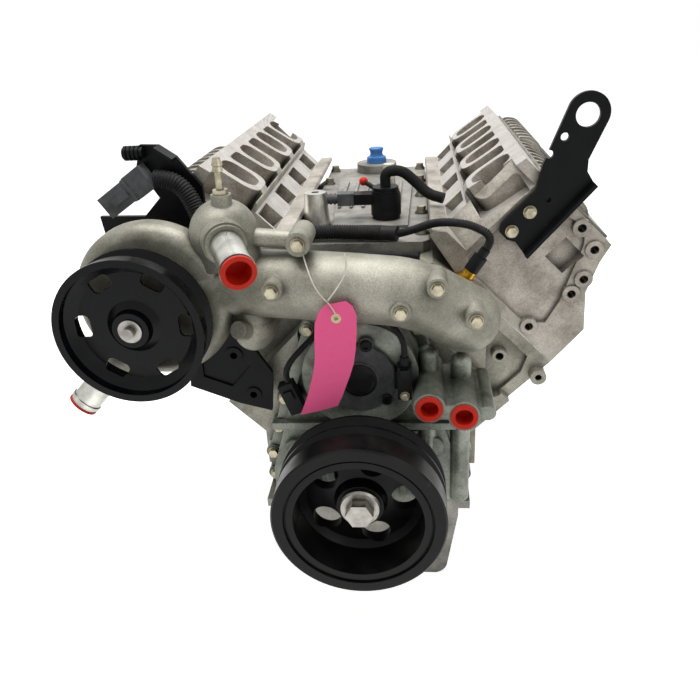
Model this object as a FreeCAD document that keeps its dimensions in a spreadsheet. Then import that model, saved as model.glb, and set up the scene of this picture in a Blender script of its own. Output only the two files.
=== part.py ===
import FreeCAD, Part
import math
import os
import Sketcher
from FreeCAD import Placement, Rotation, Vector

# Long block of a 90 degree overhead-valve V8.
# +Z is up, +Y runs from the front of the engine to the flywheel end, and +X is the bank whose
# cylinders stand forward. The crankshaft turns about Y, and the origin is the centre of the
# crankshaft's flywheel flange. Pieces of a bank are drawn in the bank's own frame: X outward to
# the exhaust side, Y rearward, Z along the cylinder bores.

doc = FreeCAD.newDocument("V8Engine")
sheet = doc.addObject("Spreadsheet::Sheet", "Sizes")
nodes = []


# ---------------------------------------------------------------- sizes and formulas
class Size:
    """A number that remembers the spreadsheet formula it comes from."""

    def __init__(self, value, formula):
        self.value = value
        self.formula = formula

    def __add__(self, other):
        return combine(self, "+", other, self.value + number(other))

    def __radd__(self, other):
        return combine(other, "+", self, number(other) + self.value)

    def __sub__(self, other):
        return combine(self, "-", other, self.value - number(other))

    def __rsub__(self, other):
        return combine(other, "-", self, number(other) - self.value)

    def __mul__(self, other):
        return combine(self, "*", other, self.value * number(other))

    def __rmul__(self, other):
        return combine(other, "*", self, number(other) * self.value)

    def __truediv__(self, other):
        return combine(self, "/", other, self.value / number(other))

    def __rtruediv__(self, other):
        return combine(other, "/", self, number(other) / self.value)

    def __neg__(self):
        return combine(0, "-", self, -self.value)

    def root(self):
        return Size(math.sqrt(self.value), f"sqrt({self.formula})")


def number(length):
    return length.value if isinstance(length, Size) else float(length)


def formula(length):
    return length.formula if isinstance(length, Size) else repr(length)


def combine(left, sign, right, value):
    return Size(value, f"({formula(left)} {sign} {formula(right)})")


def size(name, value):
    """Write one driving dimension into the sheet and return it."""
    row = len(sheet.getUsedCells()) // 2 + 1
    sheet.set(f"A{row}", name)
    sheet.set(f"B{row}", str(value))
    sheet.setAlias(f"B{row}", name)
    return Size(float(value), f"Sizes.{name}")


# ---------------------------------------------------------------- drawing helpers
BACK = Rotation(Vector(1, 0, 0), -90)  # a cylinder's axis along +Y
FORWARD = Rotation(Vector(1, 0, 0), 90)
RIGHT = Rotation(Vector(0, 1, 0), 90)
LEFT = Rotation(Vector(0, 1, 0), -90)
UP = Rotation()
DOWN = Rotation(Vector(1, 0, 0), 180)


def bind(item, **lengths):
    """Give properties their values and tie them to the sheet."""
    for name, length in lengths.items():
        setattr(item, name, number(length))
        if isinstance(length, Size):
            item.setExpression(name, length.formula)


def place(item, at, turn=UP, path="Placement"):
    setattr(item, path, Placement(Vector(*[number(v) for v in at]), turn))
    for axis, length in zip("xyz", at):
        if isinstance(length, Size):
            item.setExpression(f"{path}.Base.{axis}", length.formula)


def keep(item, label):
    """Hand a finished sub-part on for export."""
    item.Label = label
    nodes.append(item)
    return item


def new_body(label, at=(0, 0, 0), turn=UP):
    body = doc.addObject("PartDesign::Body", label)
    place(body, at, turn)
    return keep(body, label)


def origin_item(body, role):
    return next(item for item in body.Origin.OriginFeatures if item.Role == role)


def rod(body, name, radius, length, at, turn, cut=False):
    kind = "Subtractive" if cut else "Additive"
    item = body.newObject(f"PartDesign::{kind}Cylinder", name)
    bind(item, Radius=radius, Height=length)
    place(item, at, turn)
    return item


def ball(body, name, radius, at):
    item = body.newObject("PartDesign::AdditiveSphere", name)
    bind(item, Radius=radius)
    place(item, at)
    return item


def slab(body, name, low, extent, cut=False, turn=UP):
    kind = "Subtractive" if cut else "Additive"
    item = body.newObject(f"PartDesign::{kind}Box", name)
    bind(item, Length=extent[0], Width=extent[1], Height=extent[2])
    place(item, low, turn)
    return item


def arc_through(start, end, radius, outward, large):
    """The arc between two corners of an outline that runs counterclockwise."""
    chord = end - start
    half = chord.Length / 2
    inward = Vector(-chord.y, chord.x, 0).normalize() * (1 if outward else -1)
    rise = math.sqrt(max(radius * radius - half * half, 0)) * (-1 if large else 1)
    centre = (start + end) / 2 + inward * rise
    middle = centre - inward * radius
    return Part.Arc(start, middle, end)


def outline(sketch, corners):
    """Draw a closed outline. A corner is (x, y), or (x, y, radius[, "in" or "large"]) where an
    arc runs on to the next corner. Corners run counterclockwise and each is tied to the sheet."""
    first = len(sketch.Geometry)
    count = len(corners)
    points = [Vector(number(c[0]), number(c[1]), 0) for c in corners]
    starts, ends = [], []
    for i, corner in enumerate(corners):
        here, there = points[i], points[(i + 1) % count]
        if len(corner) > 2:
            kind = corner[3] if len(corner) > 3 else ""
            inward = kind == "in"
            edge = arc_through(here, there, number(corner[2]), not inward, kind == "large")
            sketch.addGeometry(edge, False)
            starts.append(2 if inward else 1)
            ends.append(1 if inward else 2)
            index = sketch.addConstraint(
                Sketcher.Constraint("Radius", first + i, number(corner[2]))
            )
            if isinstance(corner[2], Size):
                sketch.setExpression(f"Constraints[{index}]", corner[2].formula)
        else:
            sketch.addGeometry(Part.LineSegment(here, there), False)
            starts.append(1)
            ends.append(2)
    for i in range(count):
        after = (i + 1) % count
        sketch.addConstraint(
            Sketcher.Constraint("Coincident", first + i, ends[i], first + after, starts[after])
        )
    for i, corner in enumerate(corners):
        for kind, length in (("DistanceX", corner[0]), ("DistanceY", corner[1])):
            index = sketch.addConstraint(
                Sketcher.Constraint(kind, -1, 1, first + i, starts[i], number(length))
            )
            if isinstance(length, Size):
                sketch.setExpression(f"Constraints[{index}]", length.formula)


def ring(sketch, x, y, radius):
    """Draw a circle tied to the sheet."""
    index = len(sketch.Geometry)
    centre = Vector(number(x), number(y), 0)
    sketch.addGeometry(Part.Circle(centre, Vector(0, 0, 1), number(radius)), False)
    for constraint, length in (
        (Sketcher.Constraint("Radius", index, number(radius)), radius),
        (Sketcher.Constraint("DistanceX", -1, 1, index, 3, number(x)), x),
        (Sketcher.Constraint("DistanceY", -1, 1, index, 3, number(y)), y),
    ):
        made = sketch.addConstraint(constraint)
        if isinstance(length, Size):
            sketch.setExpression(f"Constraints[{made}]", length.formula)


def sketch_on(body, name, plane, lift=0, shift=(0, 0), turn=UP):
    """A sketch on one of the body's own planes, moved by shift in it and lift along its normal."""
    sketch = body.newObject("Sketcher::SketchObject", name)
    sketch.AttachmentSupport = [(origin_item(body, plane), "")]
    sketch.MapMode = "FlatFace"
    place(sketch, (shift[0], shift[1], lift), turn, "AttachmentOffset")
    return sketch


def pad(body, name, corners, length, plane="XZ_Plane", lift=0, rings=(), cut=False, **more):
    """Extrude an outline. On XZ_Plane it runs forward, on XY_Plane up, on YZ_Plane to +X."""
    sketch = sketch_on(body, f"{name}_outline", plane, lift, **more)
    if corners:
        outline(sketch, corners)
    for x, y, radius in rings:
        ring(sketch, x, y, radius)
    item = body.newObject(f"PartDesign::{'Pocket' if cut else 'Pad'}", name)
    item.Profile = sketch
    item.Reversed = cut  # a pocket then cuts the same way as a pad runs
    bind(item, Length=length)
    sketch.Visibility = False
    return item


def revolve(body, name, corners, cut=False):
    """Turn a profile of (radius, distance along Y) corners round the body's Y axis."""
    sketch = sketch_on(body, f"{name}_profile", "XY_Plane")
    outline(sketch, corners)
    item = body.newObject(f"PartDesign::{'Groove' if cut else 'Revolution'}", name)
    item.Profile = sketch
    item.ReferenceAxis = (sketch, ["V_Axis"])
    item.Angle = 360
    return item


def repeat_along(body, name, original, spacing, count):
    """Repeat a feature along the body's Y axis."""
    item = body.newObject("PartDesign::LinearPattern", name)
    item.Originals = [original]
    item.Direction = (origin_item(body, "Y_Axis"), [""])
    bind(item, Length=spacing * (count - 1))
    item.Occurrences = count
    body.Tip = item


def repeat_round(body, name, original, count):
    """Repeat a feature evenly round the body's Y axis."""
    item = body.newObject("PartDesign::PolarPattern", name)
    item.Originals = [original]
    item.Axis = (origin_item(body, "Y_Axis"), [""])
    item.Angle = 360
    item.Occurrences = count
    body.Tip = item


def primitive(kind, name, at, turn=UP, **lengths):
    item = doc.addObject(f"Part::{kind}", name)
    bind(item, **lengths)
    place(item, at, turn)
    return item


def joined(label, items):
    item = doc.addObject("Part::MultiFuse", label)
    item.Shapes = items
    return keep(item, label)


# ---------------------------------------------------------------- layout of the engine
bore = size("bore", 96)
stroke = size("stroke", 92)
bore_spacing = size("bore_spacing", 111.76)
bank_offset = size("bank_offset", 24.1)  # right bank forward of the left, a rod's width
deck_height = size("deck_height", 234.7)
cam_height = size("cam_height", 125)
rear_main = size("rear_main", 24.9)  # flange face to the middle of the rear main bearing
block_length = size("block_length", 500)
fit = size("fit", 0.3)  # clearance between pieces that slide or turn past each other
running = size("running", 0.04)  # radial clearance of an oiled bearing

CYLINDERS = 4  # in each bank
MAINS = 5
BANK = 45  # each bank leans this far from upright
LEAN = math.sin(math.radians(BANK))
bank_right = Rotation(Vector(0, 1, 0), BANK)
bank_left = Rotation(Vector(0, 0, 1), 180) * bank_right


def main_y(i):
    return -(rear_main + bore_spacing * (MAINS - 1 - i))


def pin_y(k):
    return -(rear_main + bore_spacing * (CYLINDERS - 0.5 - k))


def bank_x(up, out):
    return (up + out) * LEAN


def bank_z(up, out):
    return (up - out) * LEAN


middle_y = -(rear_main + bore_spacing * 2)
right_middle = middle_y - bank_offset / 2
left_middle = middle_y + bank_offset / 2
block_front = -block_length

# ---------------------------------------------------------------- cylinder block
deck_out = size("deck_out", 93)  # bore axis to the exhaust edge of the deck
deck_in = size("deck_in", 78)
skirt_half = size("skirt_half", 133)
skirt_depth = size("skirt_depth", 62)
valley_top = size("valley_top", 238)
valley_half = size("valley_half", 86)
head_length = size("head_length", 456)
crank_room = size("crank_room", 91)  # radius left for the turning counterweights
main_web = size("main_web", 25)
cap_half = size("cap_half", 82)
bearing_shell = size("bearing_shell", 2.4)
main_journal = size("main_journal", 32.5)
cam_journal = size("cam_journal", 27.5)
cam_tunnel = cam_journal + running + bearing_shell
main_tunnel = main_journal + running + bearing_shell
bore_bottom = size("bore_bottom", 76)
timing_recess = size("timing_recess", 17)
rear_recess = rear_main - main_web / 2
hollow_deep = size("hollow_deep", 18)
flange_thick = size("flange_thick", 16)
flange_half = size("flange_half", 205)
mount_boss = size("mount_boss", 11.5)
mount_boss_out = size("mount_boss_out", 20)
mount_pitch_y = size("mount_pitch_y", 62)
mount_pitch_z = size("mount_pitch_z", 46)
mount_hole = size("mount_hole", 5)
mount_y = size("mount_y", -262)
mount_z = size("mount_z", -27)
side_rib = size("side_rib", 9)
thread = size("thread", 4)  # radius of the M8 screws
knee_z = skirt_half - deck_out / LEAN
half_head = head_length / 2


def mirrored(corners):
    """A closed outline that is the same on both sides of the middle plane."""
    other = [(-x, z) for x, z in reversed(corners)]
    return corners + other


def block_profile():
    right = [
        (skirt_half, -skirt_depth),
        (skirt_half, knee_z),
        (bank_x(deck_height, deck_out), bank_z(deck_height, deck_out)),
        (bank_x(deck_height, -deck_in), bank_z(deck_height, -deck_in)),
        (valley_half, valley_top),
    ]
    return mirrored(right)


def bank_step(body, name, side, depth, at_front):
    """Shorten one bank so that its deck ends with its head."""
    low_out = -deck_in - 10 if side > 0 else -deck_out - 10
    up = deck_height - 70
    if side > 0:
        corner = (bank_x(up, low_out), bank_z(up, low_out))
        turn = bank_right
    else:
        corner = (-(up - low_out) * LEAN, (up + low_out) * LEAN)
        turn = Rotation(Vector(0, 1, 0), -BANK)
    y = block_front if at_front else -depth
    extent = (deck_in + deck_out + 20, depth, 90)
    return slab(body, name, (corner[0], y, corner[1]), extent, cut=True, turn=turn)


def engine_block():
    body = new_body("engine_block")
    pad(body, "casting", block_profile(), block_length)
    rear = mirrored([(flange_half, -skirt_depth + 24), (flange_half, skirt_half / 2)])
    low = [(-skirt_half, -skirt_depth), (skirt_half, -skirt_depth)]
    ears = low + rear[:2] + [(flange_half - 40, 100), (-flange_half + 40, 100)] + rear[2:]
    pad(body, "bell_flange", ears, flange_thick)
    front_step = right_middle - half_head + block_length
    left_step = left_middle - half_head + block_length
    bank_step(body, "right_front_step", 1, front_step, True)
    bank_step(body, "left_front_step", -1, left_step, True)
    bank_step(body, "right_rear_step", 1, -(right_middle + half_head), False)

    # a cast hollow beside the water passage, with a tapped lug below it
    hollow = [(152, 54), (168, 58), (196, 86), (203, 108), (152, 159)]
    other_side = [(-x, z) for x, z in reversed(hollow)]
    for name, side, corners in (("right", 1, hollow), ("left", -1, other_side)):
        pad(body, f"{name}_hollow", corners, hollow_deep + 1, lift=block_length - hollow_deep,
            cut=True)
        tube_at = (side * 168, block_front + 4, 112)
        rod(body, f"{name}_core_tube", 9, hollow_deep + 40, tube_at, BACK)
        rod(body, f"{name}_core_hole", 5, hollow_deep, tube_at, BACK, cut=True)
        lug_at = (side * 216, block_front - 2, 85)
        rod(body, f"{name}_lug", 10, 60, lug_at, BACK)
        rod(body, f"{name}_lug_hole", thread, 16, lug_at, BACK, cut=True)

    bay_width = bore_spacing - main_web
    bay_y = pin_y(0) - bay_width / 2
    bay = rod(body, "crank_bay", crank_room, bay_width, (0, bay_y, 0), BACK, cut=True)
    repeat_along(body, "crank_bays", bay, bore_spacing, CYLINDERS)
    bay_low = (-crank_room - 24, bay_y, -skirt_depth - 1)
    bay_size = (crank_room * 2 + 48, bay_width, skirt_depth + 1)
    skirt_bay = slab(body, "skirt_bay", bay_low, bay_size, cut=True)
    repeat_along(body, "skirt_bays", skirt_bay, bore_spacing, CYLINDERS)

    register = (-cap_half, block_front, -skirt_depth - 1)
    slab(body, "cap_register", register, (cap_half * 2, block_length, skirt_depth + 1), cut=True)
    rod(body, "main_tunnel", main_tunnel, block_length, (0, block_front, 0), BACK, cut=True)
    at_cam = (0, block_front, cam_height)
    rod(body, "cam_tunnel", cam_tunnel, block_length - rear_recess, at_cam, BACK, cut=True)

    for name, side, mid in (("right", 1, right_middle), ("left", -1, left_middle)):
        y = mid - bore_spacing * (CYLINDERS - 1) / 2
        at = (bore_bottom * LEAN * side, y, bore_bottom * LEAN)
        turn = Rotation(Vector(0, 1, 0), BANK * side)
        depth = deck_height - bore_bottom + 5
        first = rod(body, f"{name}_bore", bore / 2, depth, at, turn, cut=True)
        repeat_along(body, f"{name}_bores", first, bore_spacing, CYLINDERS)

    tray_half = valley_half - 14
    tray_low = (-tray_half, block_front + 30, valley_top - 40)
    tray = (tray_half * 2, block_length - 60, 41)
    slab(body, "valley_tray", tray_low, tray, cut=True)

    recess_low = (-cap_half, block_front, -skirt_depth - 1)
    recess = (cap_half * 2, timing_recess, cam_height + cap_half + skirt_depth - 12)
    slab(body, "timing_recess_cut", recess_low, recess, cut=True)
    rear_low = (-cap_half, -rear_recess, -skirt_depth - 1)
    rear_cut = (cap_half * 2, rear_recess, cam_height + skirt_depth + 50)
    slab(body, "rear_recess_cut", rear_low, rear_cut, cut=True)

    for name, side, turn in (("right", 1, RIGHT), ("left", -1, LEFT)):
        at = (side * (skirt_half - 4), mount_y - mount_pitch_y / 2, mount_z - mount_pitch_z / 2)
        tapped_x = side * (skirt_half + mount_boss_out - 18)
        for row, z in (("lower", at[2]), ("upper", at[2] + mount_pitch_z)):
            here = (at[0], at[1], z)
            boss = rod(body, f"{name}_{row}_boss", mount_boss, mount_boss_out + 4, here, turn)
            repeat_along(body, f"{name}_{row}_bosses", boss, mount_pitch_y, 2)
            here = (tapped_x, at[1], z)
            tapping = rod(body, f"{name}_{row}_tapping", mount_hole, 19, here, turn, cut=True)
            repeat_along(body, f"{name}_{row}_tappings", tapping, mount_pitch_y, 2)
        rib_x = skirt_half - 2 if side > 0 else -skirt_half - 10
        rib_at = (rib_x, main_y(0) - side_rib / 2, -skirt_depth)
        rib = slab(body, f"{name}_rib", rib_at, (12, side_rib, skirt_depth + knee_z))
        repeat_along(body, f"{name}_ribs", rib, bore_spacing, MAINS - 1)
    return body


engine_block()


def main_caps():
    body = new_body("main_caps")
    cap_depth = skirt_depth - 10
    flat = cap_half - 26
    shape = [
        (-cap_half, 0),
        (-cap_half, -cap_depth * 0.55),
        (-flat, -cap_depth),
        (flat, -cap_depth),
        (cap_half, -cap_depth * 0.55),
        (cap_half, 0),
    ]
    first = pad(body, "cap", shape, main_web, lift=-(main_y(0) + main_web / 2))
    repeat_along(body, "caps", first, bore_spacing, MAINS)
    rod(body, "cap_tunnel", main_tunnel, block_length, (0, block_front, 0), BACK, cut=True)


main_caps()


def bearing_shells():
    """A plain ring for each main journal and each cam journal."""
    body = new_body("bearing_shells")
    width = main_web - 5
    for name, outer, inner, height in (
        ("main", main_tunnel, main_journal + running, 0),
        ("cam", cam_tunnel, cam_journal + running, cam_height),
    ):
        edges = ((0, height, outer), (0, height, inner))
        shell = pad(body, f"{name}_shell", [], width, lift=-(main_y(0) + width / 2), rings=edges)
        repeat_along(body, f"{name}_shells", shell, bore_spacing, MAINS)


bearing_shells()


# ---------------------------------------------------------------- cylinder heads
gasket_thick = size("gasket_thick", 1.3)
head_height = size("head_height", 147)
rail_out = size("rail_out", 30)
rail_in = size("rail_in", 116)
flange_drop = size("flange_drop", 72)  # from the cover rail to the tips of the intake flange
flange_low_in = size("flange_low_in", 130)
wall_in = size("wall_in", 118)
foot_in = size("foot_in", 132)
foot_rise = size("foot_rise", 29)
port_long = size("port_long", 52)
port_wide = size("port_wide", 46)
port_round = size("port_round", 17)
port_deep = size("port_deep", 42)
port_wall = size("port_wall", 12)
tongue_round = size("tongue_round", 20)
gap_deep = size("gap_deep", 34)
relief_deep = size("relief_deep", 5)
exhaust_port = size("exhaust_port", 17)
exhaust_deep = size("exhaust_deep", 38)
injector_wide = size("injector_wide", 52)
injector_shift = size("injector_shift", 30)
plug_hole = size("plug_hole", 12)
pad_hole = size("pad_hole", 5)
head_seat = deck_height + gasket_thick
rail_height = head_seat + head_height  # cover rail above the crankshaft, along the bores
flange_low = rail_height - flange_drop
exhaust_height = head_seat + 30
plug_out = rail_out + 26
plug_height = rail_height - 73
lift_upper = (-71, rail_height - 37)  # the lifting bracket's holes, as (outward, up)
lift_lower = (-69, rail_height - 66)
pad_proud = 3
plug_lean = 46
bank_turn = {"right": bank_right, "left": bank_left}
bank_middle = {"right": right_middle, "left": left_middle}
first_cylinder = -bore_spacing * (CYLINDERS - 1) / 2
# the intake flange leans inward along this line of the bank frame
flange_tilt = math.degrees(math.atan2(flange_drop.value, (flange_low_in - rail_in).value))
flange_half_drop = math.hypot(flange_drop.value, (flange_low_in - rail_in).value) / 2


def head_profile():
    return [
        (-deck_in, head_seat),
        (deck_out, head_seat),
        (deck_out - 5, head_seat + 56),
        (rail_out + 22, rail_height - 58),
        (rail_out + 5, rail_height - 23),
        (rail_out - 2, rail_height),
        (-rail_in, rail_height),
        (-flange_low_in, flange_low),
        (-flange_low_in + 3, flange_low - 8),
        (-wall_in, flange_low - 13),
        (-wall_in, head_seat + foot_rise),
        (-foot_in, head_seat + foot_rise - 13),
        (-foot_in + 2, head_seat + 11),
    ]


def cylinder_head(side):
    label = f"cylinder_head_{side}"
    body = new_body(label, (0, bank_middle[side], 0), bank_turn[side])
    pad(body, "casting", head_profile(), head_length, lift=-half_head)

    # shapes on the sloping intake flange are drawn with x up towards the cover rail
    tilt = Rotation(Vector(0, 1, 0), -flange_tilt)
    middle_out = -(flange_low_in + rail_in) / 2
    middle_up = (flange_low + rail_height) / 2

    def flange_cut(name, corners, y, deep, count):
        sketch = sketch_on(body, f"{name}_outline", "XY_Plane")
        place(sketch, (middle_out, y, middle_up), tilt, "AttachmentOffset")
        outline(sketch, corners)
        item = body.newObject("PartDesign::Pocket", name)
        item.Profile = sketch
        bind(item, Length=deep)
        repeat_along(body, f"{name}s", item, bore_spacing, count)

    # the flange is cut back between the intake ports, so that each port ends in its own tongue
    tip = -flange_half_drop
    top = flange_half_drop - 15
    wide = (bore_spacing - port_wide - port_wall * 2) / 2
    turn = tongue_round
    gap_shape = [
        (top, -wide + 8),
        (top, wide - 8, 8),
        (top - 8, wide),
        (tip + turn, wide, turn, "in"),
        (tip, wide + turn),
        (tip - 5, wide + turn),
        (tip - 5, -wide - turn),
        (tip, -wide - turn, turn, "in"),
        (tip + turn, -wide),
        (top - 8, -wide, 8),
    ]
    flange_cut("port_gap", gap_shape, first_cylinder - bore_spacing / 2, gap_deep, CYLINDERS + 1)
    low = -port_long / 2 - 3
    high = port_long / 2 - 3
    edge = port_wide / 2
    r = port_round
    port_shape = [
        (high, -edge + r),
        (high, edge - r, r),
        (high - r, edge),
        (low + r, edge, r),
        (low, edge - r),
        (low, -edge + r, r),
        (low + r, -edge),
        (high - r, -edge, r),
    ]
    flange_cut("port", port_shape, first_cylinder, port_deep, CYLINDERS)

    # injector pockets in the wall below the flange
    pocket_shape = [
        (-wall_in - 8, head_seat + foot_rise),
        (-wall_in + 20, head_seat + foot_rise + 4),
        (-wall_in + 30, head_seat + foot_rise + 24),
        (-wall_in - 8, flange_low - 15),
    ]
    pocket_y = first_cylinder + injector_shift + injector_wide / 2
    pocket = pad(body, "injector_pocket", pocket_shape, injector_wide, lift=-pocket_y, cut=True)
    repeat_along(body, "injector_pockets", pocket, bore_spacing, CYLINDERS)
    corner = [
        (-wall_in - 18, -half_head - 1),
        (-wall_in + 32, -half_head - 1),
        (-wall_in, -half_head + 38),
        (-wall_in - 18, -half_head + 38),
    ]
    corner_high = head_height - 12 - foot_rise
    pad(body, "end_chamfer", corner, corner_high, plane="XY_Plane", lift=head_seat + foot_rise - 1,
        cut=True)

    at = (deck_out + 4 - exhaust_deep, first_cylinder, exhaust_height)
    exhaust = rod(body, "exhaust_port", exhaust_port, exhaust_deep, at, RIGHT, cut=True)
    repeat_along(body, "exhaust_ports", exhaust, bore_spacing, CYLINDERS)

    lean = Rotation(Vector(0, 1, 0), plug_lean)
    at = (plug_out, first_cylinder + 30, plug_height)
    plug = rod(body, "plug_hole", plug_hole, 40, at, lean, cut=True)
    repeat_along(body, "plug_holes", plug, bore_spacing, CYLINDERS)

    # both ends are set back between machined pads, with tapped holes and a cast hollow
    floor = [
        (-wall_in + 38, head_seat + 24),
        (-deck_in + 12, head_seat + 12),
        (rail_out, head_seat + 12),
        (rail_out + 18, head_seat + 30),
        (rail_out + 9, head_seat + 60),
        (rail_out - 10, rail_height - 50),
        (rail_out - 22, rail_height - 26, 30),
        (-40, rail_height - 18),
        (-wall_in + 38, rail_height - 24),
    ]
    pad(body, "front_floor", floor, relief_deep + 1, lift=half_head - relief_deep, cut=True)
    pad(body, "rear_floor", floor, relief_deep + 1, lift=-half_head - 1, cut=True)
    hole_places = [
        (rail_out - 42, rail_height - 10),
        (rail_out - 12, rail_height - 17),
        (rail_out + 7, rail_height - 49),
        (rail_out + 11, rail_height - 71),
        (rail_out + 7, rail_height - 134),
        lift_upper,
        lift_lower,
    ]
    for end, turn, y in (("front", BACK, -half_head), ("rear", FORWARD, half_head)):
        step = -pad_proud if end == "front" else pad_proud
        for i, (out, up) in enumerate(hole_places):
            at = (out, y + step, up)
            rod(body, f"{end}_pad_{i}", pad_hole * 2.1, relief_deep + pad_proud + 2, at, turn)
            rod(body, f"{end}_hole_{i}", pad_hole, 16, at, turn, cut=True)
        hollow_low = (-14, y if end == "front" else y - 18, rail_height - 62)
        slab(body, f"{end}_hollow", hollow_low, (30, 18, 32), cut=True)
    return body


cylinder_head("right")
cylinder_head("left")


def head_gaskets():
    turned = []
    for side in ("right", "left"):
        middle = bank_middle[side]
        low = doc.addObject("Part::Box", f"{side}_gasket_sheet")
        bind(low, Length=deck_in + deck_out, Width=head_length, Height=gasket_thick)
        place(low, (-deck_in, -half_head, deck_height))
        holes = []
        for k in range(CYLINDERS):
            at = (0, first_cylinder + bore_spacing * k, deck_height)
            holes.append(primitive("Cylinder", f"{side}_fire_ring_{k}", at, Radius=bore / 2 + 1,
                                   Height=gasket_thick))
        bores = doc.addObject("Part::MultiFuse", f"{side}_fire_rings")
        bores.Shapes = holes
        sheet_cut = doc.addObject("Part::Cut", f"{side}_gasket")
        sheet_cut.Base = low
        sheet_cut.Tool = bores
        place(sheet_cut, (0, middle, 0), bank_turn[side])
        turned.append(sheet_cut)
    joined("head_gaskets", turned)


head_gaskets()

cover_in = size("cover_in", 92)  # the valve cover's inner edge, from the plane of the bores
cover_out = size("cover_out", 22)
cover_flange = size("cover_flange", 3)
cover_ends = size("cover_ends", 12)
cover_low = size("cover_low", 9)
cover_high = size("cover_high", 15)
cover_ribs = 17
cover_rib = size("cover_rib", 5)


def valve_cover(side):
    """A low cover whose rear part is stepped up over the valve gear."""
    body = new_body(f"valve_cover_{side}", (0, bank_middle[side], 0), bank_turn[side])
    length = head_length - cover_ends * 2
    base = [(-cover_in, rail_height), (cover_out, rail_height),
            (cover_out, rail_height + cover_flange), (-cover_in, rail_height + cover_flange)]
    pad(body, "rail", base, length, lift=-length / 2)

    def arch(inset, inner, outer, rise):
        foot = rail_height + 1
        return [
            (-cover_in + inset, foot),
            (outer - inset, foot),
            (outer - inset, rail_height + rise * 0.4, 26),
            (outer - inset - 24, rail_height + rise),
            (inner, rail_height + rise, 26),
            (-cover_in + inset, rail_height + rise * 0.4),
        ]

    long = length - 14
    pad(body, "dome", arch(7, -cover_in + 30, -6, cover_low - 3), long, lift=-long / 2)
    pitch = (long - cover_rib * 2) / (cover_ribs - 1)
    start = -long / 2 + cover_rib
    first = pad(body, "rib", arch(5, -cover_in + 30, -4, cover_low), cover_rib,
                lift=-(start + cover_rib / 2))
    repeat_along(body, "ribs", first, pitch, cover_ribs)
    step = head_length * 0.46
    edge = length / 2 - 8
    pad(body, "high_dome", arch(7, -52, cover_out, cover_high - 3), step, lift=-edge)
    high_ribs = 8
    first = pad(body, "high_rib", arch(5, -52, cover_out + 2, cover_high), cover_rib,
                lift=-(edge - step + cover_rib * 2))
    repeat_along(body, "high_ribs", first, (step - cover_rib * 4) / (high_ribs - 1), high_ribs)
    if side == "left":
        neck = (-10, -length * 0.28, rail_height + 1)
        rod(body, "filler_neck", 19, 12, neck, UP)
        rod(body, "filler_cap_grip", 22, 8, (neck[0], neck[1], neck[2] + 9), UP)
    return body


valve_cover("right")
valve_cover("left")


# ---------------------------------------------------------------- spark plugs
def spark_plugs():
    plugs = []
    for side in ("right", "left"):
        middle = bank_middle[side]
        lean = bank_turn[side] * Rotation(Vector(0, 1, 0), plug_lean)
        for k in range(CYLINDERS):
            pieces = []
            for name, kind, start, lengths in (
                ("seat", "Cylinder", 0.5, {"Radius": plug_hole - 2, "Height": 6}),
                ("hex", "Prism", 6, {"Circumradius": plug_hole - 3, "Height": 9}),
                ("insulator", "Cylinder", 14, {"Radius": plug_hole / 2 - 1.5, "Height": 22}),
            ):
                item = primitive(kind, f"{side}_plug_{k}_{name}", (0, 0, start), **lengths)
                pieces.append(item)
            plug = doc.addObject("Part::MultiFuse", f"{side}_plug_{k}")
            plug.Shapes = pieces
            y = first_cylinder + 30 + bore_spacing * k
            flip = 1 if side == "right" else -1
            at = (bank_x(plug_height, plug_out) * flip, middle + y * flip,
                  bank_z(plug_height, plug_out))
            place(plug, at, lean)
            plugs.append(plug)
    joined("spark_plugs", plugs)


spark_plugs()


# ---------------------------------------------------------------- crankshaft
crank_pin = size("crank_pin", 26.7)
pin_width = size("pin_width", 50)
flange_radius = size("flange_radius", 48)
flange_bolt_circle = size("flange_bolt_circle", 39.5)  # radius of the flywheel bolt circle
flange_bolt_hole = size("flange_bolt_hole", 5)
snout = size("snout", 19)
snout_end = size("snout_end", 648)
counterweight = size("counterweight", 84)
pilot_bore = size("pilot_bore", 10)
crank_seal_width = size("crank_seal_width", 9)
flywheel_bolts = 8
throw_turns = (0, 90, 270, 180)


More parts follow.
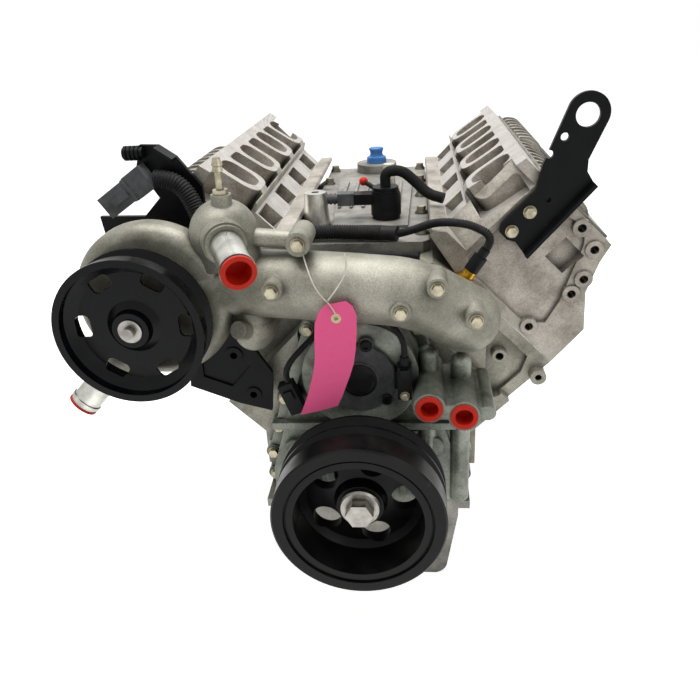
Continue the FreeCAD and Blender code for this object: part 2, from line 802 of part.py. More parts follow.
def crankshaft():
    body = new_body("crankshaft")
    throw = stroke / 2
    web = (bore_spacing - main_web - pin_width) / 2
    neck = main_journal + 8
    front = -(rear_main + bore_spacing * (MAINS - 1)) - main_web / 2
    axis = [
        (0, -snout_end),
        (snout, -snout_end),
        (snout, front),
        (main_journal, front),
        (main_journal, front + main_web),
        (0, front + main_web),
    ]
    revolve(body, "snout_turning", axis)
    rear_step = -(rear_main - main_web / 2)
    rear = [
        (0, main_y(MAINS - 1) - main_web / 2),
        (main_journal, main_y(MAINS - 1) - main_web / 2),
        (main_journal, rear_step),
        (flange_radius, rear_step),
        (flange_radius, 0),
        (0, 0),
    ]
    revolve(body, "flange_turning", rear)
    for i in range(1, MAINS - 1):
        at = (0, main_y(i) - main_web / 2, 0)
        rod(body, f"main_{i}", main_journal, main_web, at, BACK)
    cheek = [
        (-counterweight * 0.93, -counterweight * 0.368, counterweight),
        (counterweight * 0.93, -counterweight * 0.368),
        (neck, 0),
        (neck * 0.8, throw + 12, neck),
        (-neck * 0.8, throw + 12),
        (-neck, 0),
    ]
    for k in range(CYLINDERS):
        turn = Rotation(Vector(0, 0, 1), throw_turns[k])
        for end, y in (("front", pin_y(k) - pin_width / 2), ("rear", pin_y(k) + pin_width / 2 + web)):
            pad(body, f"cheek_{k}_{end}", cheek, web, lift=-y, turn=turn)
        angle = math.radians(throw_turns[k])
        at = (-throw * round(math.sin(angle)), pin_y(k) - pin_width / 2,
              throw * round(math.cos(angle)))
        rod(body, f"pin_{k}", crank_pin, pin_width, at, BACK)
    rod(body, "pilot", pilot_bore, 30, (0, -30, 0), BACK, cut=True)
    hole = rod(body, "flywheel_hole", flange_bolt_hole, 11, (flange_bolt_circle, -11, 0), BACK, cut=True)
    repeat_round(body, "flywheel_holes", hole, flywheel_bolts)
    rod(body, "snout_thread", 8, 40, (0, -snout_end, 0), BACK, cut=True)
    return body


crankshaft()

# ---------------------------------------------------------------- camshaft
cam_base = size("cam_base", 19.5)
cam_lift = size("cam_lift", 7)
cam_core = size("cam_core", 16)
lobe_width = size("lobe_width", 14)
cam_front = size("cam_front", 500)


def camshaft():
    body = new_body("camshaft", (0, 0, cam_height))
    core_rear = main_y(MAINS - 1) + main_web / 2 - 2
    core = [(0, -cam_front), (cam_core, -cam_front), (cam_core, core_rear), (0, core_rear)]
    revolve(body, "core", core)
    first = (0, main_y(0) - main_web / 2, 0)
    journal = rod(body, "journal", cam_journal, main_web - 4, first, BACK)
    repeat_along(body, "journals", journal, bore_spacing, MAINS)
    nose = cam_base * 0.55
    lobe = [
        (-cam_base * 0.9, cam_base * 0.436, cam_base, "large"),
        (cam_base * 0.9, cam_base * 0.436),
        (nose * 0.7, cam_base + cam_lift - nose * 0.29, nose),
        (-nose * 0.7, cam_base + cam_lift - nose * 0.29),
    ]
    for k in range(CYLINDERS):
        for i, step in enumerate((-36, -14, 14, 36)):
            turn = Rotation(Vector(0, 0, 1), throw_turns[k] / 2 + (0, 110, 45, 155)[i])
            y = pin_y(k) + step + lobe_width / 2
            pad(body, f"lobe_{k}_{i}", lobe, lobe_width, lift=-y, turn=turn)
    return body


camshaft()

# ---------------------------------------------------------------- pistons
piston_length = size("piston_length", 52)
deck_clearance = size("deck_clearance", 0.5)
rod_length = size("rod_length", 154.9)
compression_height = deck_height - stroke / 2 - rod_length - deck_clearance
ring_groove = size("ring_groove", 1.6)
pin_bore = size("pin_bore", 12)


def piston(side, k):
    """One piston at the height that the crankshaft's angle gives it."""
    flip = 1 if side == "right" else -1
    body = new_body(f"piston_{side}_{k + 1}")
    radius = bore / 2 - running
    under = pin_bore + 4 - compression_height
    crown = [
        (0, -7),
        (radius * 0.62, -7),
        (radius * 0.7, 0),
        (radius, 0),
        (radius, -7),
        (radius - 3, -7),
        (radius - 3, -7 - ring_groove),
        (radius, -7 - ring_groove),
        (radius, -14),
        (radius - 3, -14),
        (radius - 3, -14 - ring_groove),
        (radius, -14 - ring_groove),
        (radius, -piston_length),
        (radius - 4, -piston_length),
        (radius - 6, under - 3),
        (0, under),
    ]
    sketch = sketch_on(body, "piston_profile", "XZ_Plane")
    outline(sketch, list(reversed(crown)))
    turned = body.newObject("PartDesign::Revolution", "turning")
    turned.Profile = sketch
    turned.ReferenceAxis = (sketch, ["V_Axis"])
    turned.Angle = 360
    rod(body, "pin_bore", pin_bore, bore, (0, -bore / 2, -compression_height), BACK, cut=True)

    # height of the wrist pin from the crank throw's angle in this bank
    throw = stroke / 2
    turn = math.radians(throw_turns[k] + BANK * flip)
    along = throw * math.cos(turn)
    across = throw * math.sin(turn)
    rise = along + (rod_length * rod_length - across * across).root()
    crown_up = rise + compression_height
    at = (crown_up * LEAN * flip, bank_middle[side] + first_cylinder + bore_spacing * k,
          crown_up * LEAN)
    place(body, at, Rotation(Vector(0, 1, 0), BANK * flip))
    return body


for bank in ("right", "left"):
    for place_in_bank in range(CYLINDERS):
        piston(bank, place_in_bank)


# ---------------------------------------------------------------- timing drive
chain_y = size("chain_y", -508)  # middle of the timing chain
sprocket_width = size("sprocket_width", 8)
crank_sprocket_radius = size("crank_sprocket_radius", 25)
tooth_depth = size("tooth_depth", 4)
crank_teeth = 18
cam_teeth = crank_teeth * 2
chain_thick = size("chain_thick", 9)
chain_width = size("chain_width", 12)


def sprocket(label, radius, teeth, hub, bored, height, hub_front):
    """A toothed wheel on a turned hub, bored for its shaft."""
    body = new_body(label, (0, 0, height))
    back = chain_y + sprocket_width / 2
    front = chain_y - sprocket_width / 2
    disc = [(bored, front), (radius - tooth_depth, front), (radius - tooth_depth, back),
            (bored, back)]
    revolve(body, "disc", disc)
    half = 180 / teeth
    wide = radius * math.radians(half) * 0.8
    tooth = [
        (-wide, radius - tooth_depth - 1),
        (wide, radius - tooth_depth - 1),
        (wide * 0.45, radius),
        (-wide * 0.45, radius),
    ]
    first = pad(body, "tooth", list(tooth), sprocket_width, lift=-back)
    repeat_round(body, "teeth", first, teeth)
    hub_shape = [(bored, hub_front), (hub, hub_front), (hub, back), (bored, back)]
    revolve(body, "hub", hub_shape)
    return body


def timing_drive():
    sprocket("crank_sprocket", crank_sprocket_radius, crank_teeth, snout + 5, snout, 0,
             chain_y - sprocket_width)
    big = crank_sprocket_radius * 2
    wheel = sprocket("cam_phaser", big, cam_teeth, big * 0.72, 6, cam_height, chain_y - 24)
    hollow = rod(wheel, "phaser_face", big * 0.4, 6, (0, chain_y - 24, 0), BACK, cut=True)
    wheel.Tip = hollow


timing_drive()


def timing_chain():
    """One closed band round both sprockets, clear of their teeth."""
    body = new_body("timing_chain")
    inner_low = crank_sprocket_radius + fit * 2
    inner_high = crank_sprocket_radius * 2 + fit * 2
    # the straight runs touch both circles, so they lean by this much
    sine_lean = (inner_high - inner_low) / cam_height
    cosine_lean = (1 - sine_lean * sine_lean).root()

    def band(extra):
        low = inner_low + extra
        high = inner_high + extra
        return [
            (-low * cosine_lean, -low * sine_lean, low),
            (low * cosine_lean, -low * sine_lean),
            (high * cosine_lean, cam_height - high * sine_lean, high, "large"),
            (-high * cosine_lean, cam_height - high * sine_lean),
        ]

    back = chain_y + chain_width / 2
    pad(body, "band", band(chain_thick), chain_width, lift=-back)
    pad(body, "band_opening", band(0), chain_width, lift=-back, cut=True)
    return body


timing_chain()

# ---------------------------------------------------------------- oil pump and front cover
pump_radius = size("pump_radius", 52)
pump_thick = size("pump_thick", 18)
cover_front = size("cover_front", 571)  # face of the front cover round the cam
cover_low_front = size("cover_low_front", 558)
cover_wall = size("cover_wall", 6)
cover_flange_thick = size("cover_flange_thick", 14)
cover_top_radius = size("cover_top_radius", 82)
cover_low_half = size("cover_low_half", 131)
seal_outer = size("seal_outer", 36)
seal_inner = size("seal_inner", 27)
seal_front = size("seal_front", 588)
actuator_hole = size("actuator_hole", 30)
cover_bolt_in = size("cover_bolt_in", 6)


def cover_outline(inset, foot):
    """Outline of the front cover, drawn in from its edge by inset."""
    top = cover_top_radius - inset
    shoulder = top * 0.5
    rise = top * 0.866
    return [
        (-cover_low_half + inset, foot),
        (cover_low_half - inset, foot),
        (cover_low_half - inset, foot + 48),
        (cover_low_half - 24 - inset, foot + 128),
        (rise, cam_height + shoulder, top),
        (shoulder, cam_height + rise, top),
        (-shoulder, cam_height + rise, top),
        (-rise, cam_height + shoulder),
        (-cover_low_half + 24 + inset, foot + 128),
        (-cover_low_half + inset, foot + 48),
    ]


def cover_bolt_places():
    """Bolt centres round the front cover's edge, as (x, z)."""
    foot = -skirt_depth
    side = cover_low_half - cover_bolt_in
    top = cover_top_radius - cover_bolt_in
    right = [
        (side, foot + 12),
        (side, foot + 46),
        (side - 11, foot + 86),
        (side - 22, foot + 128),
        (top * 0.88, cam_height + top * 0.475),
    ]
    return right + [(-x, z) for x, z in right]


def front_cover():
    body = new_body("front_cover")
    foot = -skirt_depth
    pad(body, "edge", cover_outline(0, foot), cover_flange_thick, lift=block_length)
    inset = cover_bolt_in * 2 + 2
    low_box = cover_outline(inset, foot)
    pad(body, "shell", low_box, cover_low_front - block_length, lift=block_length)
    cam_face = cover_top_radius - inset
    at = (0, -cover_front, cam_height)
    rod(body, "cam_face", cam_face, cover_front - block_length, at, BACK)
    hollow = cover_outline(inset + cover_wall, foot)
    depth = cover_low_front - block_length - cover_wall
    pad(body, "chain_room", hollow, depth, lift=block_length, cut=True)
    boss_depth = seal_front - cover_low_front + cover_wall
    rod(body, "seal_boss", seal_outer + 8, boss_depth, (0, -seal_front, 0), BACK)
    rod(body, "seal_bore", seal_outer, seal_front, (0, -seal_front, 0), BACK, cut=True)
    rod(body, "cam_bore", actuator_hole, cover_front, at, BACK, cut=True)
    # ledge, stiffening ribs and bosses on the face
    ledge = (-cover_low_half + inset + 6, -cover_low_front - 9, 50)
    slab(body, "ledge", ledge, ((cover_low_half - inset - 6) * 2, 10, 9))
    for i, x in enumerate((-62, -46, 46, 62)):
        slab(body, f"rib_{i}", (x - 3, -cover_low_front - 6, foot + 8), (6, 7, 100))
    for i, (x, z) in enumerate(((-86, 20), (84, 24), (70, 88))):
        rod(body, f"boss_{i}", 13, 8, (x, -cover_low_front - 7, z), BACK)
    for i, (x, z) in enumerate(cover_bolt_places()):
        at = (x, -block_length - cover_flange_thick - 3, z)
        rod(body, f"bolt_boss_{i}", cover_bolt_in + 4, cover_flange_thick + 3, at, BACK)
        rod(body, f"bolt_hole_{i}", thread + fit, cover_flange_thick + 3, at, BACK, cut=True)
    cooler_passages(body)
    return body


# ---------------------------------------------------------------- oil cooler passages
cooler_pipe = size("cooler_pipe", 12)
cooler_face = size("cooler_face", 620)
cooler_port = size("cooler_port", 18)
cooler_bore = size("cooler_bore", 13)
cooler_left_x = size("cooler_left_x", 79)
cooler_left_z = size("cooler_left_z", 111)
cooler_right_x = size("cooler_right_x", 117)
cooler_right_z = size("cooler_right_z", 101)
cooler_drop = size("cooler_drop", 158)


def cooler_passages(body):
    """Two cooler ports on the cover's side, with the passages that run down from them."""
    pipe_y = -cover_low_front + 4
    ports = (("left", cooler_left_x, cooler_left_z), ("right", cooler_right_x, cooler_right_z))
    for name, x, z in ports:
        at = (x, -cooler_face, z)
        depth = cooler_face - block_length - cover_flange_thick
        rod(body, f"{name}_cooler_port", cooler_port, depth, at, BACK)
        down = (x, pipe_y, z - cooler_drop)
        rod(body, f"{name}_cooler_pipe", cooler_pipe, cooler_drop + 34, down, UP)
        ball(body, f"{name}_cooler_top", cooler_pipe, (x, pipe_y, z + 34))
    bridge = (cooler_left_x, -cooler_face, cooler_left_z - 14)
    wide = cooler_right_x - cooler_left_x
    slab(body, "port_bridge", bridge, (wide, cooler_face - block_length - 20, 18))
    side = (cooler_right_x + 26, -cooler_face + 4, cooler_right_z + 2)
    rod(body, "port_lobe", 9, 90, side, BACK)
    slab(body, "lobe_web", (cooler_right_x, -cooler_face + 4, cooler_right_z - 7), (26, 90, 16))
    for name, x, z in ports:
        at = (x, -cooler_face, z)
        rod(body, f"{name}_cooler_bore", cooler_bore, 30, at, BACK, cut=True)


front_cover()


def oil_pump():
    body = new_body("oil_pump")
    back = -block_length - 21
    shape = [
        (snout + 1, back - pump_thick),
        (pump_radius, back - pump_thick),
        (pump_radius, back),
        (snout + 1, back),
    ]
    revolve(body, "housing", shape)
    for i, angle in enumerate((35, 145, 215, 325)):
        turn = math.radians(angle)
        at = ((pump_radius + 4) * math.cos(turn), back - pump_thick, (pump_radius + 4) * math.sin(turn))
        rod(body, f"ear_{i}", 9, pump_thick, at, BACK)
    slab(body, "pickup_port", (-pump_radius, back - pump_thick, -skirt_depth + 2),
         (34, pump_thick, 46))
    return body


oil_pump()


def crank_seals():
    pieces = []
    for name, y, outer, inner, width in (
        ("front", -seal_front + 4, seal_outer, seal_inner + fit, crank_seal_width),
        ("rear", -rear_recess + 2, flange_radius + 8, flange_radius + fit, crank_seal_width - 1),
    ):
        solid = primitive("Cylinder", f"{name}_seal_disc", (0, y, 0), BACK, Radius=outer, Height=width)
        hole = primitive("Cylinder", f"{name}_seal_hole", (0, y, 0), BACK, Radius=inner, Height=width)
        seal = doc.addObject("Part::Cut", f"{name}_seal")
        seal.Base = solid
        seal.Tool = hole
        pieces.append(seal)
    joined("crank_seals", pieces)


crank_seals()


def rear_cover():
    body = new_body("rear_cover")
    half = cap_half - fit
    shape = [
        (-half, -skirt_depth),
        (half, -skirt_depth),
        (half, cam_height + 20),
        (half - 24, cam_height + 44),
        (-half + 24, cam_height + 44),
        (-half, cam_height + 20),
    ]
    pad(body, "plate", shape, rear_recess - 2, lift=2)
    slab(body, "rib", (-half + 8, -2, cam_height - 22), (half * 2 - 16, 1.5, 5))
    rod(body, "seal_bore", flange_radius + 8, rear_recess + 1, (0, -rear_recess, 0), BACK, cut=True)
    return body


rear_cover()

# ---------------------------------------------------------------- crankshaft balancer
rim_radius = size("rim_radius", 98)
rim_inner = size("rim_inner", 84)
rim_front = size("rim_front", 681)
rim_rear = size("rim_rear", 612)
rubber_thick = size("rubber_thick", 3)
hub_rim = size("hub_rim", 8)
hub_boss = size("hub_boss", 27)
hub_face = size("hub_face", 647)
belt_groove = size("belt_groove", 3)
groove_pitch = size("groove_pitch", 3.56)
window_radius = size("window_radius", 17)
spokes = 5


def grooved_rim(radius, inner, front, rear, groups):
    """Rim profile with rows of vee grooves. groups holds (first groove from the rear, count)."""
    top = []
    for start, count in groups:
        for i in range(count):
            y = rear - start - groove_pitch * i
            top += [(radius, y), (radius - belt_groove, y - groove_pitch / 2)]
        y = rear - start - groove_pitch * count
        top += [(radius, y)]
    return [(inner, front), (radius - 2, front), (radius, front + 2)] + list(reversed(top)) + [
        (radius, rear), (inner, rear)]


def balancer():
    body = new_body("balancer_rim")
    groups = ((3, 5), (24, 4))
    revolve(body, "rim", grooved_rim(rim_radius, rim_inner, -rim_front, -rim_rear, groups))

    body = new_body("balancer_rubber")
    inner = rim_inner - rubber_thick
    ring_shape = [(inner, -rim_front + 4), (rim_inner, -rim_front + 4), (rim_inner, -rim_rear - 4),
                  (inner, -rim_rear - 4)]
    revolve(body, "rubber", ring_shape)

    body = new_body("balancer_hub")
    web_front = -hub_face - 2
    web_rear = web_front + 20
    edge = inner - hub_rim
    hub = [
        (snout, web_front),
        (hub_boss, web_front),
        (hub_boss + 4, web_front + 12),
        (edge - 8, web_front + 20),
        (edge - 1, web_front + 12),
        (edge, -rim_front + 2),
        (inner, -rim_front + 2),
        (inner, -rim_rear - 2),
        (edge - 2, -rim_rear - 2),
        (edge - 12, web_rear + 12),
        (hub_boss + 4, web_rear + 6),
        (seal_inner, web_rear),
        (seal_inner, -seal_front + 14),
        (snout, -seal_front + 14),
    ]
    revolve(body, "hub", hub)
    middle = (hub_boss + edge) / 2 + 1
    at = (middle, -rim_front, 0)
    window = rod(body, "window", window_radius, rim_front - rim_rear, at, BACK, cut=True)
    repeat_round(body, "windows", window, spokes)

    body = new_body("crank_bolt")
    washer = [(0, web_front), (24, web_front), (24, web_front - 4), (22, web_front - 6),
              (0, web_front - 6)]
    revolve(body, "washer", list(reversed(washer)))
    rod(body, "shank", 7.5, 30, (0, web_front, 0), BACK)
    hexagon = [(16 * math.cos(math.radians(a)), 16 * math.sin(math.radians(a)))
               for a in range(0, 360, 60)]
    pad(body, "hex_head", hexagon, 14, lift=-web_front + 5)


balancer()


# ---------------------------------------------------------------- fasteners
bolt_head = size("bolt_head", 6.2)
bolt_head_high = size("bolt_head_high", 7)
bolt_flange = size("bolt_flange", 7.5)


def bolt(name, at, turn, shank):
    """A flange screw that seats at the given point and points along turn's Z axis."""
    flip = turn * DOWN
    pieces = [
        primitive("Prism", f"{name}_hex", at, flip, Circumradius=bolt_head, Height=bolt_head_high),
        primitive("Cylinder", f"{name}_flange", at, flip, Radius=bolt_flange, Height=2),
    ]
    if number(shank) > 0:
        pieces.append(
            primitive("Cylinder", f"{name}_shank", at, turn, Radius=thread, Height=shank)
        )
    item = doc.addObject("Part::MultiFuse", name)
    item.Shapes = pieces
    return item


cover_face_y = -block_length - cover_flange_thick - 3


def front_cover_screws():
    screws = []
    for i, (x, z) in enumerate(cover_bolt_places()):
        screws.append(bolt(f"cover_bolt_{i}", (x, cover_face_y, z), BACK, cover_flange_thick + 3))
    return screws


# ---------------------------------------------------------------- water pump
pulley_x = size("pulley_x", -236.8)
pulley_z = size("pulley_z", 214)
pulley_radius = size("pulley_radius", 80)
pulley_front = size("pulley_front", 635)
pulley_width = size("pulley_width", 40)
pulley_sheet = size("pulley_sheet", 3)
pump_nose_front = size("pump_nose_front", 598)
pump_nose = size("pump_nose", 24)
pump_shaft = size("pump_shaft", 8)
volute_radius = size("volute_radius", 90)
volute_x = size("volute_x", -226)
volute_z = size("volute_z", 226)
volute_front = size("volute_front", 588)
volute_rear = size("volute_rear", 548)
volute_round = size("volute_round", 15)
crossover_radius = size("crossover_radius", 38)
crossover_y = size("crossover_y", -575)
leg_radius = size("leg_radius", 23)
leg_x = size("leg_x", 119)
leg_z = size("leg_z", 184)
nipple_radius = size("nipple_radius", 17)
nipple_wall = size("nipple_wall", 1.6)
dome_radius = size("dome_radius", 37)
impeller_radius = size("impeller_radius", 34)
bank_face = {"right": right_middle - half_head, "left": left_middle - half_head}


def pipe(points, radius, bend=0.45):
    """A solid round bar along straight runs with tangent arcs at the corners."""
    edges = []
    start = points[0]
    for before, corner, after in zip(points, points[1:], points[2:]):
        into = corner - before
        out = after - corner
        turn = into.getAngle(out)
        shorter = min(into.Length, out.Length)
        back_off = shorter * bend
        entry = corner - Vector(into).normalize() * back_off
        leave = corner + Vector(out).normalize() * back_off
        middle = (entry + leave) / 2
        inward = (middle - corner).normalize()
        arc_radius = back_off / math.tan(turn / 2)
        reach = arc_radius / math.cos(turn / 2) - arc_radius
        edges.append(Part.LineSegment(start, entry).toShape())
        edges.append(Part.Arc(entry, corner + inward * reach, leave).toShape())
        start = leave
    edges.append(Part.LineSegment(start, points[-1]).toShape())
    path = Part.Wire(edges)
    direction = points[1] - points[0]
    section = Part.Wire(Part.makeCircle(radius, points[0], direction))
    return path.makePipeShell([section], True, False)


def vector(x, y, z):
    return Vector(number(x), number(y), number(z))


def bar(radius, start, end, end_radius=None):
    """A round bar or taper between two points."""
    along = end - start
    if end_radius is None:
        return Part.makeCylinder(number(radius), along.Length, start, along)
    return Part.makeCone(number(radius), number(end_radius), along.Length, start, along)


def feature(label, shape):
    item = doc.addObject("Part::Feature", label)
    item.Shape = shape
    return keep(item, label)


crossover_path = [
    vector(pulley_x + 56, crossover_y + 23, pulley_z + 26),
    vector(-124, crossover_y + 20, pulley_z + 24),
    vector(-30, crossover_y, pulley_z + 26),
    vector(66, crossover_y, pulley_z + 16),
    vector(leg_x + 2, crossover_y + 12, leg_z + 10),
]
dome_centre = vector(-140, -566, 300)
outlet_start = vector(-135, -590, 301)
outlet_end = vector(-104, -660, 288)
inlet_start = vector(-290, -566, 143)
inlet_end = vector(-334, -584, 98)
pump_boss_face = size("pump_boss_face", 616)
pump_boss_places = ((-84, 250), (88, 250), (128, 214), (50, 224))
sensor_axis = Vector(0.55, 0, 0.83).normalize()
sensor_boss = vector(leg_x - 15, -512, leg_z + 10)
sensor_seat = sensor_boss + sensor_axis * 21


def water_pump_housing():
    body_front = number(volute_front)
    round_off = number(volute_round)
    volute = Part.makeCylinder(number(volute_radius), body_front - number(volute_rear),
                               vector(volute_x, -volute_front, volute_z), Vector(0, 1, 0))
    rims = [e for e in volute.Edges if e.Closed and e.Curve.TypeId == "Part::GeomCircle"]
    volute = volute.makeFillet(round_off, rims)
    nose = bar(pump_nose, vector(pulley_x, -pump_nose_front, pulley_z),
               vector(pulley_x, -volute_rear, pulley_z))
    tube = pipe(crossover_path, number(crossover_radius))
    knee = Part.makeSphere(number(crossover_radius), crossover_path[-1])
    root = Part.makeSphere(number(crossover_radius), crossover_path[0])
    shapes = [nose, tube, knee, root]
    left_end = vector(-leg_x, crossover_y + 8, leg_z)
    shapes.append(bar(leg_radius, vector(leg_x, crossover_y, leg_z),
                      vector(leg_x, bank_face["right"], leg_z)))
    shapes.append(bar(leg_radius, left_end, vector(-leg_x, bank_face["left"], leg_z)))
    shapes.append(Part.makeSphere(number(leg_radius), left_end))
    shapes.append(bar(leg_radius - 2, left_end, crossover_path[1]))
    shapes.append(bar(13, left_end, left_end + Vector(-11, -30, 14), 10))
    for x, z in pump_boss_places:
        shapes.append(bar(11, vector(x, -pump_boss_face, z), vector(x, crossover_y, z)))
    shapes.append(bar(12, sensor_boss, sensor_seat))
    inlet_along = (inlet_end - inlet_start).normalize()
    inlet = bar(nipple_radius + 3, inlet_start - inlet_along * 40, inlet_start)
    shapes.append(inlet)
    housing = volute
    for shape in shapes:
        housing = housing.fuse(shape)
    bore_hole = bar(pump_shaft + fit, vector(pulley_x, -pump_nose_front - 1, pulley_z),
                    vector(pulley_x, -volute_rear - 26, pulley_z))
    chamber = bar(impeller_radius + 4, vector(pulley_x, -volute_rear - 28, pulley_z),
                  vector(pulley_x, -volute_rear - 6, pulley_z))
    dome_seat = Part.makeSphere(number(dome_radius), dome_centre)
    dome_foot = bar(dome_radius - 4, dome_centre, dome_centre + Vector(6, 0, -34))
    feature("water_pump_housing", housing.cut([bore_hole, chamber, dome_seat, dome_foot]))


water_pump_housing()


def thermostat_housing():
    dome = Part.makeSphere(number(dome_radius), dome_centre)
    foot = bar(dome_radius - 4, dome_centre, dome_centre + Vector(6, 0, -34))
    neck_dir = (outlet_end - outlet_start).normalize()
    neck = bar(nipple_radius + 7, outlet_start, outlet_start + neck_dir * 14)
    collar = bar(nipple_radius + 5, outlet_start + neck_dir * 14, outlet_start + neck_dir * 18)
    barb_boss = bar(11, dome_centre + Vector(4, -8, 20), dome_centre + Vector(4, -8, 44))
    lug = bar(13, Vector(-55, -600, 295), Vector(-55, -552, 295))
    web = bar(10, Vector(-62, -572, 292), Vector(-118, -568, 296))
    shape = dome.fuse([foot, neck, collar, barb_boss, lug, web]).removeSplitter()
    feature("thermostat_housing", shape)


thermostat_housing()


def hollow_nipple(start, end):
    """A beaded hose nipple."""
    along = (end - start).normalize()
    outer = bar(nipple_radius, start, end)
    bead = bar(nipple_radius + 1.5, end - along * 7, end - along * 3)
    inner = bar(nipple_radius - nipple_wall, start, end)
    return outer.fuse(bead).cut(inner)


def coolant_nipples():
    along = (outlet_end - outlet_start).normalize()
    outlet = hollow_nipple(outlet_start + along * 18, outlet_end)
    inlet = hollow_nipple(inlet_start, inlet_end)
    feature("coolant_nipples", Part.makeCompound([outlet, inlet]))


coolant_nipples()


def vent_barb():
    base = dome_centre + Vector(4, -8, 44)
    stem = bar(8, base, base + Vector(0, 0, 5)).fuse([
        bar(4, base, base + Vector(0, 0, 38)),
        bar(6, base + Vector(0, 0, 30), base + Vector(0, 0, 38), 3.5),
        bar(6, base + Vector(0, 0, 24), base + Vector(0, 0, 30), 4.2),
    ])
    feature("vent_barb", stem)


vent_barb()


def shipping_caps():
    """Push-in caps in every open port: two nipples, two cooler ports and the purge tube."""
    shapes = []
    gap = number(fit)
    cup = number(nipple_radius - nipple_wall) - gap
    for start, end in ((outlet_start, outlet_end), (inlet_start, inlet_end)):
        along = (end - start).normalize()
        body = bar(cup, end - along * 24, end)
        lip = bar(nipple_radius + 1, end, end + along * 2.5)
        hollow = bar(cup - 2, end - along * 21, end + along * 3)
        shapes.append(body.fuse(lip).cut(hollow))
    for x, z in ((cooler_left_x, cooler_left_z), (cooler_right_x, cooler_right_z)):
        end = vector(x, -cooler_face, z)
        body = bar(cooler_bore - gap, end + Vector(0, 20, 0), end)
        lip = bar(cooler_bore + 2, end, end - Vector(0, 2.5, 0))
        hollow = bar(cooler_bore - 3, end + Vector(0, 16, 0), end - Vector(0, 3, 0))
        shapes.append(body.fuse(lip).cut(hollow))
    return shapes


def pump_pulley():
    body = new_body("pump_pulley", (pulley_x, 0, pulley_z))
    front = -pulley_front
    rear = front + pulley_width
    skin = pulley_sheet
    inner = pulley_radius - belt_groove - skin
    outer_edge = grooved_rim(pulley_radius, inner, front, rear, ((3, 6),))
    revolve(body, "rim", outer_edge)
    web = [
        (pump_shaft, front + 4),
        (20, front + 4),
        (22, front + 12),
        (30, front + 17),
        (inner - 12, front + 17),
        (inner + 1, front + 6),
        (inner + 1, front + 9),
        (inner - 11, front + 20),
        (28, front + 20),
        (19, front + 15),
        (17, front + 20),
        (pump_shaft, front + 20),
    ]
    revolve(body, "web", web)
    lip = [(inner, front - 4), (pulley_radius + 2, front - 4), (pulley_radius + 2, front - 1),
           (pulley_radius - 1, front + 1), (inner, front + 1)]
    revolve(body, "lip", lip)
    near = inner - 25
    far = inner - 9
    high = 13
    r = 6
    shape = [
        (far, -high + r),
        (far, high - r, r),
        (far - r, high),
        (near + r, high, r),
        (near, high - r),
        (near, -high + r, r),
        (near + r, -high),
        (far - r, -high, r),
    ]
    window = pad(body, "window", shape, pulley_width, lift=-rear, cut=True)
    repeat_round(body, "windows", window, 6)


pump_pulley()


def pump_spindle():
    body = new_body("pump_shaft", (pulley_x, 0, pulley_z))
    front = -pulley_front + 4
    hub = -volute_rear - 26
    turned = [
        (0, front - 9),
        (6, front - 9),
        (6, front - 2),
        (13, front - 2),
        (13, front),
        (pump_shaft, front),
        (pump_shaft, hub),
        (impeller_radius, hub),
        (impeller_radius, hub + 3),
        (12, hub + 6),
        (12, hub + 17),
        (0, hub + 17),
    ]
    revolve(body, "turning", turned)
    blade = slab(body, "blade", (10, hub + 2, -1.5), (impeller_radius - 12, 13, 3))
    repeat_round(body, "blades", blade, 6)


pump_spindle()

# ---------------------------------------------------------------- cam actuator and sensors
actuator_plate = size("actuator_plate", 6)
actuator_disc = size("actuator_disc", 22)


def cam_actuator():
    body = new_body("cam_actuator", (0, 0, cam_height))
    face = -cover_front
    rod(body, "plate", actuator_hole + 12, actuator_plate, (0, face - actuator_plate, 0), BACK)
    for i, (x, z) in enumerate(((9, 43), (31, -26), (-38, -16))):
        rod(body, f"ear_{i}", 9, actuator_plate, (x, face - actuator_plate, z), BACK)
    rod(body, "spigot", actuator_hole - fit, 12, (0, face, 0), BACK)
    rod(body, "disc", actuator_disc, actuator_plate + 3, (0, face - actuator_plate - 3, 0), BACK)
    rod(body, "disc_dish", actuator_disc - 4, 1.5, (0, face - actuator_plate - 3, 0), BACK, cut=True)


cam_actuator()


def cam_sensor():
    body = new_body("cam_sensor", (52, 0, cam_height + 4))
    face = -cover_front - actuator_plate
    slab(body, "case", (-8, face - 16, -22), (16, 16, 40))
    slab(body, "tab", (-5, face - 20, 8), (10, 4, 9))
    slab(body, "foot", (-12, face - 5, -14), (6, 5, 22))
    rod(body, "cable_neck", 5, 12, (0, face - 9, 17), UP)


def phase_sensor():
    body = new_body("position_sensor", (-80, 0, 100), Rotation(Vector(0, 1, 0), -20))
    face = -cover_low_front
    rod(body, "stem", 9, 12, (0, face - 12, 0), BACK)
    slab(body, "case", (-9, face - 26, -18), (18, 15, 40))
    slab(body, "latch", (-5, face - 29, 2), (10, 4, 12))


cam_sensor()
phase_sensor()

# ---------------------------------------------------------------- valley
plate_thick = size("plate_thick", 14)
plate_half = size("plate_half", 83)
plate_front = size("plate_front", 462)
plate_rear = size("plate_rear", 18)
post_x = size("post_x", 27)
post_y = size("post_y", -232)
valley_bolts = 5
plate_top = valley_top + plate_thick
valley_bolt_y = 34 - plate_front
valley_pitch = (plate_front - plate_rear - 56) / (valley_bolts - 1)


